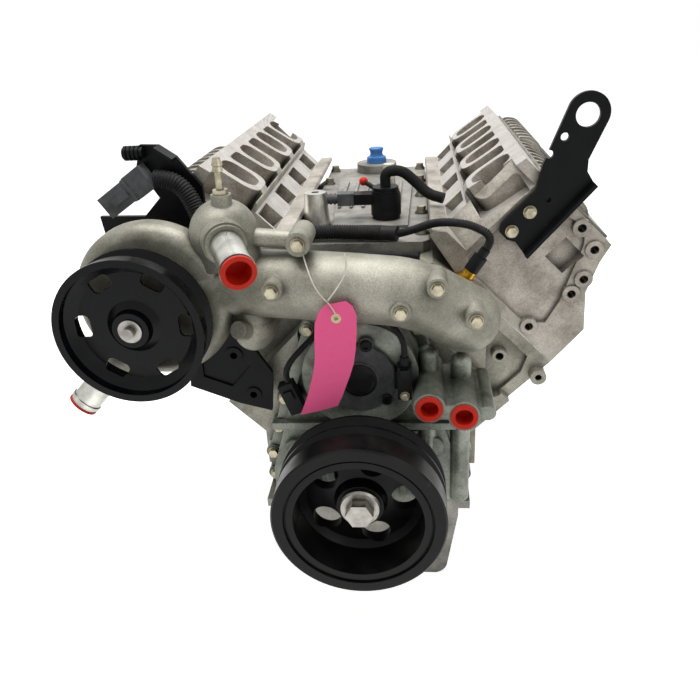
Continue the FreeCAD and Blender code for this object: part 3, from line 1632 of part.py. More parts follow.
def valley_cover():
    body = new_body("valley_cover")
    length = plate_front - plate_rear
    shape = [
        (-plate_half + 8, -plate_front),
        (plate_half - 8, -plate_front),
        (plate_half, -plate_front + 8),
        (plate_half, -plate_rear - 8),
        (plate_half - 8, -plate_rear),
        (-plate_half + 8, -plate_rear),
        (-plate_half, -plate_rear - 8),
        (-plate_half, -plate_front + 8),
    ]
    pad(body, "plate", shape, plate_thick, plane="XY_Plane", lift=valley_top)
    raised = [(-42, -plate_front + 60), (56, -plate_front + 60), (62, -plate_rear - 120),
              (40, -plate_rear - 20), (-40, -plate_rear - 20), (-58, -plate_rear - 120)]
    pad(body, "raised_panel", raised, plate_thick + 4, plane="XY_Plane", lift=valley_top)
    rod(body, "rear_dome", 34, plate_thick + 18, (0, -plate_rear - 42, valley_top), UP)
    rod(body, "post_boss", 12.5, plate_thick + 7, (post_x, post_y, valley_top), UP)
    for i in range(6):
        rib = (-42 + 17 * i - 2, -plate_front + 150, plate_top)
        slab(body, f"rib_{i}", rib, (4, length * 0.36, 7))
    for side in (-1, 1):
        first = (side * (plate_half - 9), valley_bolt_y, plate_top)
        seat = rod(body, f"bolt_seat_{side + 1}", 8.5, 3, first, UP)
        repeat_along(body, f"bolt_seats_{side + 1}", seat, valley_pitch, valley_bolts)
        hole_at = (first[0], first[1], valley_top - 1)
        hole = rod(body, f"bolt_hole_{side + 1}", thread + fit, plate_thick + 5, hole_at, UP, cut=True)
        repeat_along(body, f"bolt_holes_{side + 1}", hole, valley_pitch, valley_bolts)


valley_cover()


def valley_cover_screws():
    screws = []
    for side in (-1, 1):
        for i in range(valley_bolts):
            at = (side * (plate_half - 9), valley_bolt_y + valley_pitch * i, plate_top + 3)
            screws.append(bolt(f"valley_bolt_{side + 1}_{i}", at, DOWN, plate_thick + 3))
    return screws



def valley_posts():
    top = number(plate_top)
    pillar = bar(18, Vector(-64, -385, top), Vector(-64, -385, top + 46), 14)
    pillar = pillar.cut(bar(5, Vector(-64, -385, top + 30), Vector(-64, -385, top + 47)))
    foot = vector(post_x, post_y, top + 7)
    neck = foot + Vector(0, 0, 21)
    port = bar(12, foot, neck, 8.5)
    port = port.fuse(bar(6, neck, neck + Vector(0, 0, 7)))
    feature("valley_posts", Part.makeCompound([pillar, port]))
    clear = bar(9, neck, neck + Vector(0, 0, 21), 8)
    clear = clear.cut(bar(6 + 0.3, neck, neck + Vector(0, 0, 8)))
    feature("breather_cap", clear)
    dome_top = number(valley_top + plate_thick) + 18
    rear = -number(plate_rear) - 42
    blue = bar(17, Vector(0, rear, dome_top), Vector(0, rear, dome_top + 10)).fuse([
        bar(11, Vector(0, rear, dome_top + 10), Vector(0, rear, dome_top + 22)),
        bar(13, Vector(0, rear, dome_top + 22), Vector(0, rear, dome_top + 25)),
    ])
    feature("rear_port_cap", blue)


valley_posts()

loom_radius = 9.5


spigot_lean = Rotation(Vector(1, 1, 0), -75)


def purge_valve():
    body = new_body("purge_solenoid", (27, -363, plate_top + 4))
    rod(body, "base", 18, 6, (0, 0, 0), UP)
    rod(body, "can", 20, 28, (0, 0, 5), UP)
    rod(body, "waist", 18.5, 37, (0, 0, 0), UP)
    rod(body, "cap", 17, 42, (0, 0, 0), UP)
    slab(body, "terminal", (-42, -10, 20), (26, 20, 14))
    rod(body, "small_spigot", 3.2, 26, (-9, 9, 34), spigot_lean)
    plug = new_body("solenoid_plug", (27 - 42, -363, plate_top + 4))
    slab(plug, "case", (-22, -9, 19), (22, 18, 16))
    rod(plug, "boot", 6.5, 24, (-22, 0, 27), LEFT)
    for i in range(4):
        rod(plug, f"boot_ring_{i}", 7.5, 2.5, (-25 - 5.5 * i, 0, 27), LEFT)


purge_valve()


def tubing():
    top = number(plate_top) + 4
    start = Vector(27, -363, top + 42.3)
    hose = pipe([start, start + Vector(0, 0, 19), start + Vector(22, 1, 20),
                 start + Vector(40, -1, 4), start + Vector(56, -6, -11),
                 start + Vector(76, -12, -16)], 7)
    feature("purge_hose", hose)
    rest = number(plate_top) + loom_radius + number(fit)
    loom = pipe([Vector(-81, -449, rest), Vector(-50, -446, rest + 1), Vector(-10, -449, rest),
                 Vector(26, -456, rest + 1), Vector(44, -462, rest + 1)], loom_radius)
    feature("main_loom", loom)
    plug_tip = sensor_seat + sensor_axis * 54.6
    branch = pipe([Vector(45.5, -462.4, rest + 1), Vector(64, -469, rest + 7),
                   Vector(86, -485, rest + 20), Vector(110, -499, rest + 24),
                   Vector(132, -505, rest + 21),
                   plug_tip + sensor_axis * 16, plug_tip], 5)
    low = number(valley_top) + 5 + number(fit)
    lower = pipe([Vector(-66, -482, low), Vector(-30, -480, low), Vector(10, -483, low),
                  Vector(46, -487, low), Vector(70, -493, low)], 5)
    feature("loom_branches", Part.makeCompound([branch, lower]))
    conduit = pipe([Vector(-236.3, -489, 344), Vector(-220, -489, 344), Vector(-202, -491, 332),
                    Vector(-188, -497, 306), Vector(-178, -508, 280)], 11)
    feature("side_conduit", conduit)


tubing()


def temperature_sensor():
    along = sensor_axis
    seat = sensor_seat
    shape = bar(8, seat, seat + along * 8).fuse([
        Part.makeCylinder(11, 8, seat + along * 8, along),
        bar(8, seat + along * 16, seat + along * 24),
    ])
    feature("temperature_sensor", shape)
    plug_start = seat + along * 24.3
    plug = bar(8.5, plug_start, plug_start + along * 20).fuse(
        bar(6, plug_start + along * 20, plug_start + along * 30))
    feature("sensor_plug", plug)


temperature_sensor()

# ---------------------------------------------------------------- brackets
lift_thick = size("lift_thick", 6)
lift_eye_outer = size("lift_eye_outer", 22.5)
lift_eye = size("lift_eye", 12.9)
lift_eye_x = size("lift_eye_x", 249.5)
lift_eye_z = size("lift_eye_z", 398)


def lift_bracket():
    body = new_body("lift_bracket")
    plate_rear_y = -(right_middle - half_head - pad_proud)
    x, z, r = lift_eye_x, lift_eye_z, lift_eye_outer
    shape = [
        (162, 272),
        (170, 263),
        (180, 260),
        (190, 246),
        (261, 327),
        (254, 338),
        (254, 351),
        (x + r * 0.93, z - r * 0.367, r, "large"),
        (x - r * 0.9, z + r * 0.436),
        (205, 345),
        (200, 318),
        (164, 282),
    ]
    pad(body, "plate", shape, lift_thick, lift=plate_rear_y)
    rod(body, "eye", lift_eye, 60, (x, -plate_rear_y - 40, z), BACK, cut=True)
    for i, (hole_x, hole_z, hole) in enumerate(((227, 376, 4.5), (212, 358, 4.5), (214, 308, 3))):
        rod(body, f"hole_{i}", hole, 60, (hole_x, -plate_rear_y - 40, hole_z), BACK, cut=True)
    for i, (out, up) in enumerate((lift_upper, lift_lower)):
        at = (bank_x(up, out), -plate_rear_y - 40, bank_z(up, out))
        rod(body, f"bolt_hole_{i}", pad_hole + 0.5, 60, at, BACK, cut=True)
    fold = [(190, 246), (193, 243), (264, 324), (261, 327)]
    pad(body, "fold", fold, lift_thick + 12, lift=plate_rear_y)


lift_bracket()


def bracket_screws():
    screws = []
    y = right_middle - half_head - pad_proud - lift_thick
    for i, (out, up) in enumerate((lift_upper, lift_lower)):
        screws.append(bolt(f"lift_bolt_{i}", (bank_x(up, out), y, bank_z(up, out)), BACK, 14))
    for i, (x, z) in enumerate(pump_boss_places):
        screws.append(bolt(f"pump_bolt_{i}", (x, -pump_boss_face, z), BACK, 0))
    screws.append(bolt("lug_bolt", (-55, -600, 295), BACK, 0))
    return screws


def accessory_bracket():
    body = new_body("accessory_bracket")
    shape = [(-219, 91), (-158, 66), (-118, 55), (-112, 108), (-150, 174), (-212, 143)]
    pad(body, "plate", shape, 6, lift=524)
    inner = [(-200, 104), (-165, 90), (-140, 118), (-168, 150), (-200, 132)]
    pad(body, "relief", inner, 3, lift=527, cut=True)
    face = bank_face["left"]
    rod(body, "upper_standoff", 11, face + 532, (-158, -532, 134), BACK)
    rod(body, "lower_standoff", 10, 532 - block_length, (-139, -532, 79), BACK)
    rod(body, "upper_hole", 4.5, 20, (-158, -533, 134), BACK, cut=True)
    rod(body, "lower_hole", 4.5, 20, (-139, -533, 79), BACK, cut=True)


accessory_bracket()


def harness_bracket():
    body = new_body("harness_bracket")
    face = -bank_face["left"] + pad_proud
    shape = [(-316, 268), (-206, 261), (-186, 300), (-186, 330), (-212, 366), (-232, 380),
             (-254, 381), (-262, 356), (-240, 318), (-262, 296), (-319, 297)]
    pad(body, "plate", shape, 6, lift=face)
    lip = [(-316, 268), (-206, 261), (-206, 265), (-316, 272)]
    pad(body, "lower_lip", lip, 26, lift=face)
    edge = [(-212, 366), (-232, 380), (-234, 377), (-214, 363)]
    pad(body, "upper_lip", edge, 22, lift=face)
    rod(body, "screw_head", 8, 12, (-205, -face - 12, 300), BACK)
    for i in range(4):
        rod(body, f"ribbed_plug_{i}", 8.5, 3, (-252 - 5 * i, -face - 13, 373), LEFT)
    rod(body, "plug_core", 6.5, 24, (-248, -face - 13, 373), LEFT)


harness_bracket()


def harness_connector():
    tilt = Rotation(Vector(0, 1, 0), -33)
    body = new_body("harness_connector", (-271, bank_face["left"] - pad_proud - 6 - fit, 330),
                    tilt)
    slab(body, "shell", (-34, -24, -13), (40, 24, 27))
    slab(body, "header", (6, -22, -15), (26, 22, 31))
    slab(body, "seam", (4, -25, -14.5), (3, 25, 29.5))
    slab(body, "latch", (-20, -28, -5), (22, 4, 9))


harness_connector()

# ---------------------------------------------------------------- oil pan
pan_depth = size("pan_depth", 128)
pan_rail = size("pan_rail", 12)
pan_wall = size("pan_wall", 6)
pan_low_half = size("pan_low_half", 103)
pan_front = size("pan_front", 550)
pan_rear = size("pan_rear", 4)


def pan_outline(inset, top):
    low = -skirt_depth - pan_depth + inset
    corner = 14
    return [
        (-pan_low_half + inset + corner, low),
        (pan_low_half - inset - corner, low, corner * 1.42),
        (pan_low_half - inset, low + corner),
        (skirt_half - 16 - inset, -skirt_depth - pan_rail - 18),
        (skirt_half - 16 - inset, top),
        (-skirt_half + 16 + inset, top),
        (-skirt_half + 16 + inset, -skirt_depth - pan_rail - 18),
        (-pan_low_half + inset, low + corner, corner * 1.42),
    ]


def oil_pan():
    body = new_body("oil_pan")
    rail = [(-skirt_half, -skirt_depth - pan_rail), (skirt_half, -skirt_depth - pan_rail),
            (skirt_half, -skirt_depth), (-skirt_half, -skirt_depth)]
    pad(body, "rail", rail, block_length - pan_rear, lift=pan_rear)
    nose = [(-cover_low_half, -skirt_depth - pan_rail), (cover_low_half, -skirt_depth - pan_rail),
            (cover_low_half, -skirt_depth), (-cover_low_half, -skirt_depth)]
    pad(body, "nose_rail", nose, pan_front - block_length + 8, lift=block_length)
    pad(body, "sump", pan_outline(0, -skirt_depth - 4), pan_front - pan_rear, lift=pan_rear)
    hollow = pan_front - pan_rear - pan_wall * 2
    pad(body, "sump_room", pan_outline(pan_wall, -skirt_depth), hollow, lift=pan_rear + pan_wall,
        cut=True)
    rib_low = (-pan_low_half - 8, -pan_front + 60, -skirt_depth - pan_rail - 40)
    rib = slab(body, "side_rib", rib_low, (pan_low_half * 2 + 16, 6, 40))
    repeat_along(body, "side_ribs", rib, 100, 5)
    again = pad(body, "sump_room_again", pan_outline(pan_wall, -skirt_depth), hollow,
                lift=pan_rear + pan_wall, cut=True)
    body.Tip = again
    drain = (pan_low_half - 2, -pan_rear - 60, -skirt_depth - pan_depth + 26)
    rod(body, "drain_boss", 13, 14, drain, RIGHT)


oil_pan()


def pan_screws():
    screws = []
    pitch = (block_length - 60) / 5
    for side in (-1, 1):
        for i in range(6):
            at = (side * (skirt_half - 8), -30 - pitch * i, -skirt_depth - pan_rail)
            screws.append(bolt(f"pan_bolt_{side + 1}_{i}", at, UP, 0))
    return screws


def flange_screws():
    """Every identical flange screw on the outside of the engine."""
    screws = front_cover_screws() + valley_cover_screws() + pan_screws() + bracket_screws()
    joined("flange_screws", screws)


flange_screws()


# ---------------------------------------------------------------- tag and caps
def tag():
    body = new_body("hang_tag", (0, 0, 0))
    shape = [(-66, 104), (-19, 119), (5, 221), (-4, 237), (-40, 233)]
    pad(body, "card", shape, 0.8, lift=622)
    rod(body, "eyelet", 3, 10, (-17, -630, 222), BACK, cut=True)


tag()
tag_string_route = [Vector(-50, -600.9, 285), Vector(-43, -617, 268), Vector(-33, -626, 250),
                    Vector(-20, -625, 236), Vector(-17, -624.5, 226)]


def finish_small_parts():
    caps = shipping_caps()
    top = number(plate_top) + 4
    lean = spigot_lean.multVec(Vector(0, 0, 1))
    tip = Vector(27 - 9, -363 + 9, top + 34) + lean * (26 + 6.2)
    caps.append(Part.makeSphere(6, tip))
    feature("shipping_caps", Part.makeCompound(caps))
    feature("tag_string", pipe(tag_string_route, 0.8))


finish_small_parts()


# ---------------------------------------------------------------- check and export
doc.recompute()
faults = [item.Name for item in doc.Objects if {"Invalid", "Error"} & set(item.State)]
for item in nodes:
    if item.Shape.isNull() or not item.Shape.isValid():
        faults.append(f"{item.Label} has no sound shape")
if faults:
    raise RuntimeError(f"The model did not build: {faults}")

os.makedirs("parts", exist_ok=True)
for item in nodes:
    item.Shape.exportStep(f"parts/{item.Label}.step")
    print(item.Label, len(item.Shape.Solids), round(item.Shape.Volume / 1000, 1), "cm3")
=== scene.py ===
import bmesh
import bpy
import math
import random
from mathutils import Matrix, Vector


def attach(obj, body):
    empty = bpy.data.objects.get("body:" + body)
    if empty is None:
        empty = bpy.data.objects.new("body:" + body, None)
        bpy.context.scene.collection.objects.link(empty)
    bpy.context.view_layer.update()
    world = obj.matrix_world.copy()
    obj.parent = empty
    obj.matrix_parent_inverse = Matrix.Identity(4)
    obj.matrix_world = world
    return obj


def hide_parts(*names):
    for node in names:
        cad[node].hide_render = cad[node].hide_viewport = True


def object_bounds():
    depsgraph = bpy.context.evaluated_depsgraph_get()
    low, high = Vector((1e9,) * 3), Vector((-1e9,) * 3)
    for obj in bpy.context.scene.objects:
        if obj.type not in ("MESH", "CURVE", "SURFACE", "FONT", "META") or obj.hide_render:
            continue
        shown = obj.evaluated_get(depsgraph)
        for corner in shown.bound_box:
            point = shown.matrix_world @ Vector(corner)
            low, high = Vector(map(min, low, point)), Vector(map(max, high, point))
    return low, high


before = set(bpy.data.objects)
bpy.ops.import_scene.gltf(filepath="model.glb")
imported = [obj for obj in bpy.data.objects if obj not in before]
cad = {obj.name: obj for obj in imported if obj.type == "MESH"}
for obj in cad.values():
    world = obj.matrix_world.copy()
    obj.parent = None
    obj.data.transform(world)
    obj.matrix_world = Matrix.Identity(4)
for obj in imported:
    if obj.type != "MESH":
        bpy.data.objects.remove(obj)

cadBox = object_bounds()
mm = 0.001


# Colours are written as sRGB hex, as a paint program shows them
def linear(hexColour):
    channels = [int(hexColour[i:i + 2], 16) / 255 for i in (1, 3, 5)]
    light = [c / 12.92 if c < 0.04045 else ((c + 0.055) / 1.055) ** 2.4 for c in channels]
    return (*light, 1)


def addNode(tree, kind, settings=None, values=None, links=None):
    node = tree.nodes.new("ShaderNode" + kind)
    for name, value in (settings or {}).items():
        setattr(node, name, value)
    for socket, value in (values or {}).items():
        node.inputs[socket].default_value = value
    for socket, source in (links or {}).items():
        tree.links.new(source, node.inputs[socket])
    return node


def newMaterial(name, values):
    material = bpy.data.materials.new(name)
    material.use_nodes = True
    tree = material.node_tree
    tree.nodes.clear()
    shader = addNode(tree, "BsdfPrincipled", values=values)
    addNode(tree, "OutputMaterial", links={"Surface": shader.outputs["BSDF"]})
    return material, tree, shader


def noiseAt(tree, place, sizeMm, detail=3.0, roughness=0.55):
    # a noise whose lumps are about sizeMm across on the real engine
    values = {"Scale": 1000 / sizeMm, "Detail": detail, "Roughness": roughness}
    return addNode(tree, "TexNoise", values=values, links={"Vector": place}).outputs["Fac"]


def ramp(tree, factor, stops):
    node = addNode(tree, "ValToRGB", links={"Fac": factor})
    node.color_ramp.elements[0].position = stops[0][0]
    node.color_ramp.elements[0].color = stops[0][1]
    node.color_ramp.elements[1].position = stops[-1][0]
    node.color_ramp.elements[1].color = stops[-1][1]
    for position, colour in stops[1:-1]:
        node.color_ramp.elements.new(position).color = colour
    return node.outputs["Color"]


def mixColour(tree, factor, first, second, blend="MIX"):
    node = addNode(tree, "Mix", {"data_type": "RGBA", "blend_type": blend})
    for socket, source in ((0, factor), (6, first), (7, second)):
        if isinstance(source, (int, float, tuple)):
            node.inputs[socket].default_value = source
        else:
            tree.links.new(source, node.inputs[socket])
    return node.outputs[2]


def mathNode(tree, operation, *terms):
    node = addNode(tree, "Math", {"operation": operation})
    for i, term in enumerate(terms):
        if isinstance(term, (int, float)):
            node.inputs[i].default_value = term
        else:
            tree.links.new(term, node.inputs[i])
    return node.outputs[0]


def stretch(tree, factor, low, high, newLow=0.0, newHigh=1.0):
    values = {"From Min": low, "From Max": high, "To Min": newLow, "To Max": newHigh}
    return addNode(tree, "MapRange", {"clamp": True}, values, {"Value": factor}).outputs["Result"]


def facing(tree, direction, low=0.985, high=0.995):
    # 1 on the flat faces that look along a direction, 0 elsewhere
    normal = addNode(tree, "NewGeometry").outputs["Normal"]
    dot = addNode(tree, "VectorMath", {"operation": "DOT_PRODUCT"}, {1: direction}, {0: normal})
    return stretch(tree, dot.outputs["Value"], low, high)


def creviceShade(tree, reachMm, low=0.25, high=0.85):
    # 0 in corners and recesses, where painted shade goes, 1 on open metal
    node = addNode(tree, "AmbientOcclusion", {"samples": 8}, {"Distance": reachMm * mm})
    return stretch(tree, node.outputs["AO"], low, high)


# Sand-cast and die-cast aluminium: a pebbled skin with grey blotches, darkened in corners and
# recesses by painted shade mixed with dirt, and bright where a cutter has been over it
def castAluminium(name, look):
    material, tree, shader = newMaterial(name, {"Metallic": look["metallic"]})
    place = addNode(tree, "TexCoord").outputs["Object"]
    blotch = noiseAt(tree, place, look["blotchMm"], 4, 0.6)
    grain = noiseAt(tree, place, look["grainMm"], 2, 0.7)
    skin = ramp(tree, blotch, [(0.32, linear(look["dark"])), (0.5, linear(look["colour"])),
                               (0.7, linear(look["light"]))])
    speck = ramp(tree, grain, [(0.3, (0.72, 0.72, 0.72, 1)), (0.62, (1.12, 1.12, 1.12, 1))])
    skin = mixColour(tree, 1.0, skin, speck, "MULTIPLY")
    # painted shade with dirt: ambient occlusion darkens corners and recesses toward the grime
    # colour, in patches set by a noise
    openUnshadedMetal = creviceShade(tree, look["dirtAndShadeMm"])
    grimeAndShade = noiseAt(tree, place, look["blotchMm"] * 0.5, 3)
    dirtAndShade = mathNode(tree, "MULTIPLY", mathNode(tree, "SUBTRACT", 1.0, openUnshadedMetal),
                    stretch(tree, grimeAndShade, 0.25, 0.6, 0.55, 1.0))
    skin = mixColour(tree, dirtAndShade, skin, linear(look["grimeAndShade"]))
    rough = stretch(tree, grain, 0.3, 0.7, look["rough"] - 0.08, look["rough"] + 0.1)
    height = grain
    machined = None
    for direction in look.get("machined", []):
        mask = facing(tree, direction)
        machined = mask if machined is None else mathNode(tree, "MAXIMUM", machined, mask)
    if machined is not None:
        strokes = addNode(tree, "TexWave", {"wave_type": "RINGS", "rings_direction": "SPHERICAL"},
                          {"Scale": 1000 / look["cutMm"] / 6.28, "Distortion": 1.5},
                          {"Vector": place}).outputs["Fac"]
        strokes = mathNode(tree, "MULTIPLY", strokes, stretch(tree, grimeAndShade, 0.35, 0.6))
        cut = ramp(tree, strokes, [(0.1, linear(look["cut"])), (0.9, linear(look["cutDark"]))])
        stain = noiseAt(tree, place, 26, 5, 0.65)
        cut = mixColour(tree, stretch(tree, stain, 0.5, 0.75, 0.0, 0.45), cut,
                        linear(look["dark"]))
        skin = mixColour(tree, machined, skin, cut)
        flat = mathNode(tree, "SUBTRACT", 1.0, machined)
        height = mathNode(tree, "MULTIPLY", height, flat)
        smooth = mathNode(tree, "MULTIPLY", machined, -look.get("cutSmooth", 0.18))
        rough = mathNode(tree, "ADD", rough, smooth)
    tree.links.new(skin, shader.inputs["Base Color"])
    tree.links.new(rough, shader.inputs["Roughness"])
    edge = addNode(tree, "Bevel", {"samples": 4}, {"Radius": look["edgeMm"] * mm})
    bump = addNode(tree, "Bump", values={"Strength": look["bump"], "Distance": 0.6 * mm},
                   links={"Height": height, "Normal": edge.outputs["Normal"]})
    tree.links.new(bump.outputs["Normal"], shader.inputs["Normal"])
    return material


slope = math.sqrt(0.5)
# in each look the grime colour and its reach in mm serve both dirt and the painted shade of
# corners and recesses
headLook = {
    "colour": "#A9A298", "dark": "#827C70", "light": "#C4BDB3", "grimeAndShade": "#34352B",
    "blotchMm": 40, "grainMm": 2.2, "dirtAndShadeMm": 16, "rough": 0.52, "bump": 0.35, "edgeMm": 1.6,
    "metallic": 0.45,
    "machined": [(-0.559, 0, 0.829), (0.559, 0, 0.829), (slope, 0, slope), (-slope, 0, slope)],
    "cut": "#C9C4BD", "cutDark": "#B0AAA2", "cutMm": 3,
}
blockLook = {
    "colour": "#9C998C", "dark": "#747166", "light": "#B6B3A5", "grimeAndShade": "#2E2E26",
    "blotchMm": 48, "grainMm": 2.4, "dirtAndShadeMm": 18, "rough": 0.52, "bump": 0.4, "edgeMm": 1.6,
    "metallic": 0.45, "machined": [(0, 1, 0)],
    "cut": "#C9C6BA", "cutDark": "#ABA799", "cutMm": 4,
}
pumpLook = {
    "colour": "#8F8D80", "dark": "#716F61", "light": "#A6A396", "grimeAndShade": "#38382F",
    "blotchMm": 52, "grainMm": 2.0, "dirtAndShadeMm": 14, "rough": 0.5, "bump": 0.3, "edgeMm": 2.0,
    "metallic": 0.45,
}
frontCoverLook = {
    "colour": "#80847A", "dark": "#5C6056", "light": "#999D92", "grimeAndShade": "#22241D",
    "blotchMm": 36, "grainMm": 2.6, "dirtAndShadeMm": 18, "rough": 0.44, "bump": 0.3, "edgeMm": 1.8,
    "metallic": 0.5,
}
valveCoverLook = {
    "colour": "#9B968C", "dark": "#6F6B63", "light": "#B9B4AA", "grimeAndShade": "#25231F",
    "blotchMm": 30, "grainMm": 1.8, "dirtAndShadeMm": 9, "rough": 0.46, "bump": 0.25, "edgeMm": 1.0,
    "metallic": 0.5,
}
valleyLook = {
    "colour": "#94918A", "dark": "#6E6C66", "light": "#ADA9A1", "grimeAndShade": "#33322B",
    "blotchMm": 40, "grainMm": 2.0, "dirtAndShadeMm": 12, "rough": 0.5, "bump": 0.3, "edgeMm": 1.4,
    "metallic": 0.45,
}


# Steel that a tool has turned or ground: fine rings or streaks, bluish grey, sharp glints
def machinedSteel(name, look):
    material, tree, shader = newMaterial(name, {"Metallic": 1.0})
    place = addNode(tree, "TexCoord").outputs["Object"]
    stain = noiseAt(tree, place, look["blotchMm"], 5, 0.6)
    fine = noiseAt(tree, place, look["grainMm"], 2, 0.8)
    colour = ramp(tree, stain, [(0.35, linear(look["dark"])), (0.62, linear(look["colour"]))])
    # painted shade: ambient occlusion darkens corners and recesses toward a dark brown
    openUnshadedMetal = creviceShade(tree, 6)
    colour = mixColour(tree, mathNode(tree, "SUBTRACT", 1.0, openUnshadedMetal), colour, linear("#35322C"))
    tree.links.new(colour, shader.inputs["Base Color"])
    rough = stretch(tree, fine, 0.3, 0.7, look["rough"] - 0.07, look["rough"] + 0.12)
    tree.links.new(rough, shader.inputs["Roughness"])
    bump = addNode(tree, "Bump", values={"Strength": 0.12, "Distance": 0.2 * mm},
                   links={"Height": fine})
    tree.links.new(bump.outputs["Normal"], shader.inputs["Normal"])
    return material


# Black electrocoat or stove enamel over pressed steel: a smooth skin with a slight ripple,
# dust on top and grey scuffs along its edges
def blackEnamel(name, look):
    material, tree, shader = newMaterial(
        name, {"Metallic": 0.0, "IOR": 1.5, "Specular IOR Level": look["shine"]}
    )
    place = addNode(tree, "TexCoord").outputs["Object"]
    cloud = noiseAt(tree, place, look["blotchMm"], 4, 0.6)
    fine = noiseAt(tree, place, 1.6, 2, 0.7)
    colour = ramp(tree, cloud, [(0.35, linear(look["colour"])), (0.75, linear(look["dusty"]))])
    scuffs = addNode(tree, "TexNoise", values={"Scale": 1000 / 9, "Detail": 8.0,
                                               "Roughness": 0.75}, links={"Vector": place})
    worn = stretch(tree, scuffs.outputs["Fac"], 0.66, 0.72, 0.0, look["wear"])
    colour = mixColour(tree, worn, colour, linear("#6B6A66"))
    tree.links.new(colour, shader.inputs["Base Color"])
    rough = stretch(tree, cloud, 0.3, 0.7, look["rough"] - 0.06, look["rough"] + 0.14)
    tree.links.new(rough, shader.inputs["Roughness"])
    bump = addNode(tree, "Bump", values={"Strength": 0.1, "Distance": 0.2 * mm},
                   links={"Height": fine})
    tree.links.new(bump.outputs["Normal"], shader.inputs["Normal"])
    return material


# Glass-filled nylon and ABS: moulded with a fine spark texture, so it takes a soft grey sheen
def mouldedPlastic(name, look):
    material, tree, shader = newMaterial(
        name, {"IOR": 1.5, "Metallic": 0.0, "Specular IOR Level": look.get("shine", 0.15)})
    place = addNode(tree, "TexCoord").outputs["Object"]
    cloud = noiseAt(tree, place, 18, 4, 0.6)
    fine = noiseAt(tree, place, look.get("grainMm", 1.2), 2, 0.7)
    colour = ramp(tree, cloud, [(0.35, linear(look["colour"])), (0.72, linear(look["dusty"]))])
    tree.links.new(colour, shader.inputs["Base Color"])
    rough = stretch(tree, fine, 0.3, 0.7, look["rough"] - 0.08, look["rough"] + 0.1)
    tree.links.new(rough, shader.inputs["Roughness"])
    bump = addNode(tree, "Bump", values={"Strength": look.get("bump", 0.15),
                                         "Distance": 0.3 * mm}, links={"Height": fine})
    tree.links.new(bump.outputs["Normal"], shader.inputs["Normal"])
    return material


# Tag board: dyed paper, soft and matt, with the fibres faintly seen
def tagBoard(name, look):
    material, tree, shader = newMaterial(name, {"Roughness": 0.75, "IOR": 1.45})
    place = addNode(tree, "TexCoord").outputs["Object"]
    fibre = noiseAt(tree, place, 1.5, 4, 0.8)
    colour = ramp(tree, fibre, [(0.3, linear(look["dark"])), (0.7, linear(look["colour"]))])
    tree.links.new(colour, shader.inputs["Base Color"])
    bump = addNode(tree, "Bump", values={"Strength": 0.15, "Distance": 0.1 * mm},
                   links={"Height": fibre})
    tree.links.new(bump.outputs["Normal"], shader.inputs["Normal"])
    return material


finishes = {
    "headCasting": castAluminium("Sand-cast aluminium, head", headLook),
    "blockCasting": castAluminium("Sand-cast aluminium, block", blockLook),
    "pumpCasting": castAluminium("Sand-cast aluminium, pump", pumpLook),
    "coverCasting": castAluminium("Die-cast aluminium, front cover", frontCoverLook),
    "valveCoverCasting": castAluminium("Die-cast aluminium, valve cover", valveCoverLook),
    "valleyCasting": castAluminium("Die-cast aluminium, valley cover", valleyLook),
    "turnedAluminium": machinedSteel("Turned aluminium", {
        "colour": "#D2D1CA", "dark": "#ACABA4", "blotchMm": 20, "grainMm": 0.9, "rough": 0.32}),
    "groundSteel": machinedSteel("Ground steel", {
        "colour": "#A3A09A", "dark": "#7D7A75", "blotchMm": 18, "grainMm": 0.8, "rough": 0.3}),
    "zincPlate": machinedSteel("Zinc-plated steel", {
        "colour": "#B7AF99", "dark": "#8C8571", "blotchMm": 9, "grainMm": 0.8, "rough": 0.36}),
    "castIron": machinedSteel("Cast iron", {
        "colour": "#6E6C68", "dark": "#4C4A47", "blotchMm": 12, "grainMm": 1.6, "rough": 0.55}),
    "brass": machinedSteel("Brass", {
        "colour": "#D3A83C", "dark": "#A57C25", "blotchMm": 10, "grainMm": 0.7, "rough": 0.28}),
    "pulleyEnamel": blackEnamel("Black stove enamel, pulley", {
        "colour": "#050608", "dusty": "#0E0F12", "blotchMm": 30, "rough": 0.2, "shine": 0.14,
        "wear": 0.12}),
    "balancerEnamel": blackEnamel("Black electrocoat, balancer", {
        "colour": "#0A0A0B", "dusty": "#191817", "blotchMm": 24, "rough": 0.34, "shine": 0.14,
        "wear": 0.25}),
    "bracketEnamel": blackEnamel("Black electrocoat, brackets", {
        "colour": "#060708", "dusty": "#101113", "blotchMm": 26, "rough": 0.36, "shine": 0.12,
        "wear": 0.3}),
    "blackNylon": mouldedPlastic("Glass-filled nylon, black", {
        "colour": "#0A0B0C", "dusty": "#18191B", "rough": 0.42}),
    "greyNylon": mouldedPlastic("Glass-filled nylon, grey", {
        "colour": "#4A4C4D", "dusty": "#66686A", "rough": 0.45}),
    "conduitPlastic": mouldedPlastic("Polypropylene conduit", {
        "colour": "#161517", "dusty": "#2B2929", "rough": 0.5}),
    "rubber": mouldedPlastic("EPDM rubber", {
        "colour": "#0C0C0C", "dusty": "#1B1A19", "rough": 0.62, "grainMm": 2.0}),
    "redCapPlastic": mouldedPlastic("Polythene cap, red", {
        "colour": "#D62A18", "dusty": "#C2301F", "rough": 0.38, "bump": 0.08}),
    "blueCapPlastic": mouldedPlastic("Polythene cap, blue", {
        "colour": "#4E84C4", "dusty": "#3D6DA8", "rough": 0.4, "bump": 0.08}),
    "milkyPlastic": mouldedPlastic("Milky polythene", {
        "colour": "#D8D6C9", "dusty": "#C2C0B2", "rough": 0.35, "bump": 0.08}),
    "tagBoard": tagBoard("Tag board, pink", {"colour": "#FF6AA0", "dark": "#F85C95"}),
    "eyeletBoard": tagBoard("Tag board, pale yellow", {"colour": "#E9DDB4", "dark": "#DCCF9F"}),
    "cottonString": mouldedPlastic("Cotton string", {
        "colour": "#C9C2B2", "dusty": "#E4DDCD", "rough": 0.9, "grainMm": 0.6, "bump": 0.5}),
}
print("materials made")

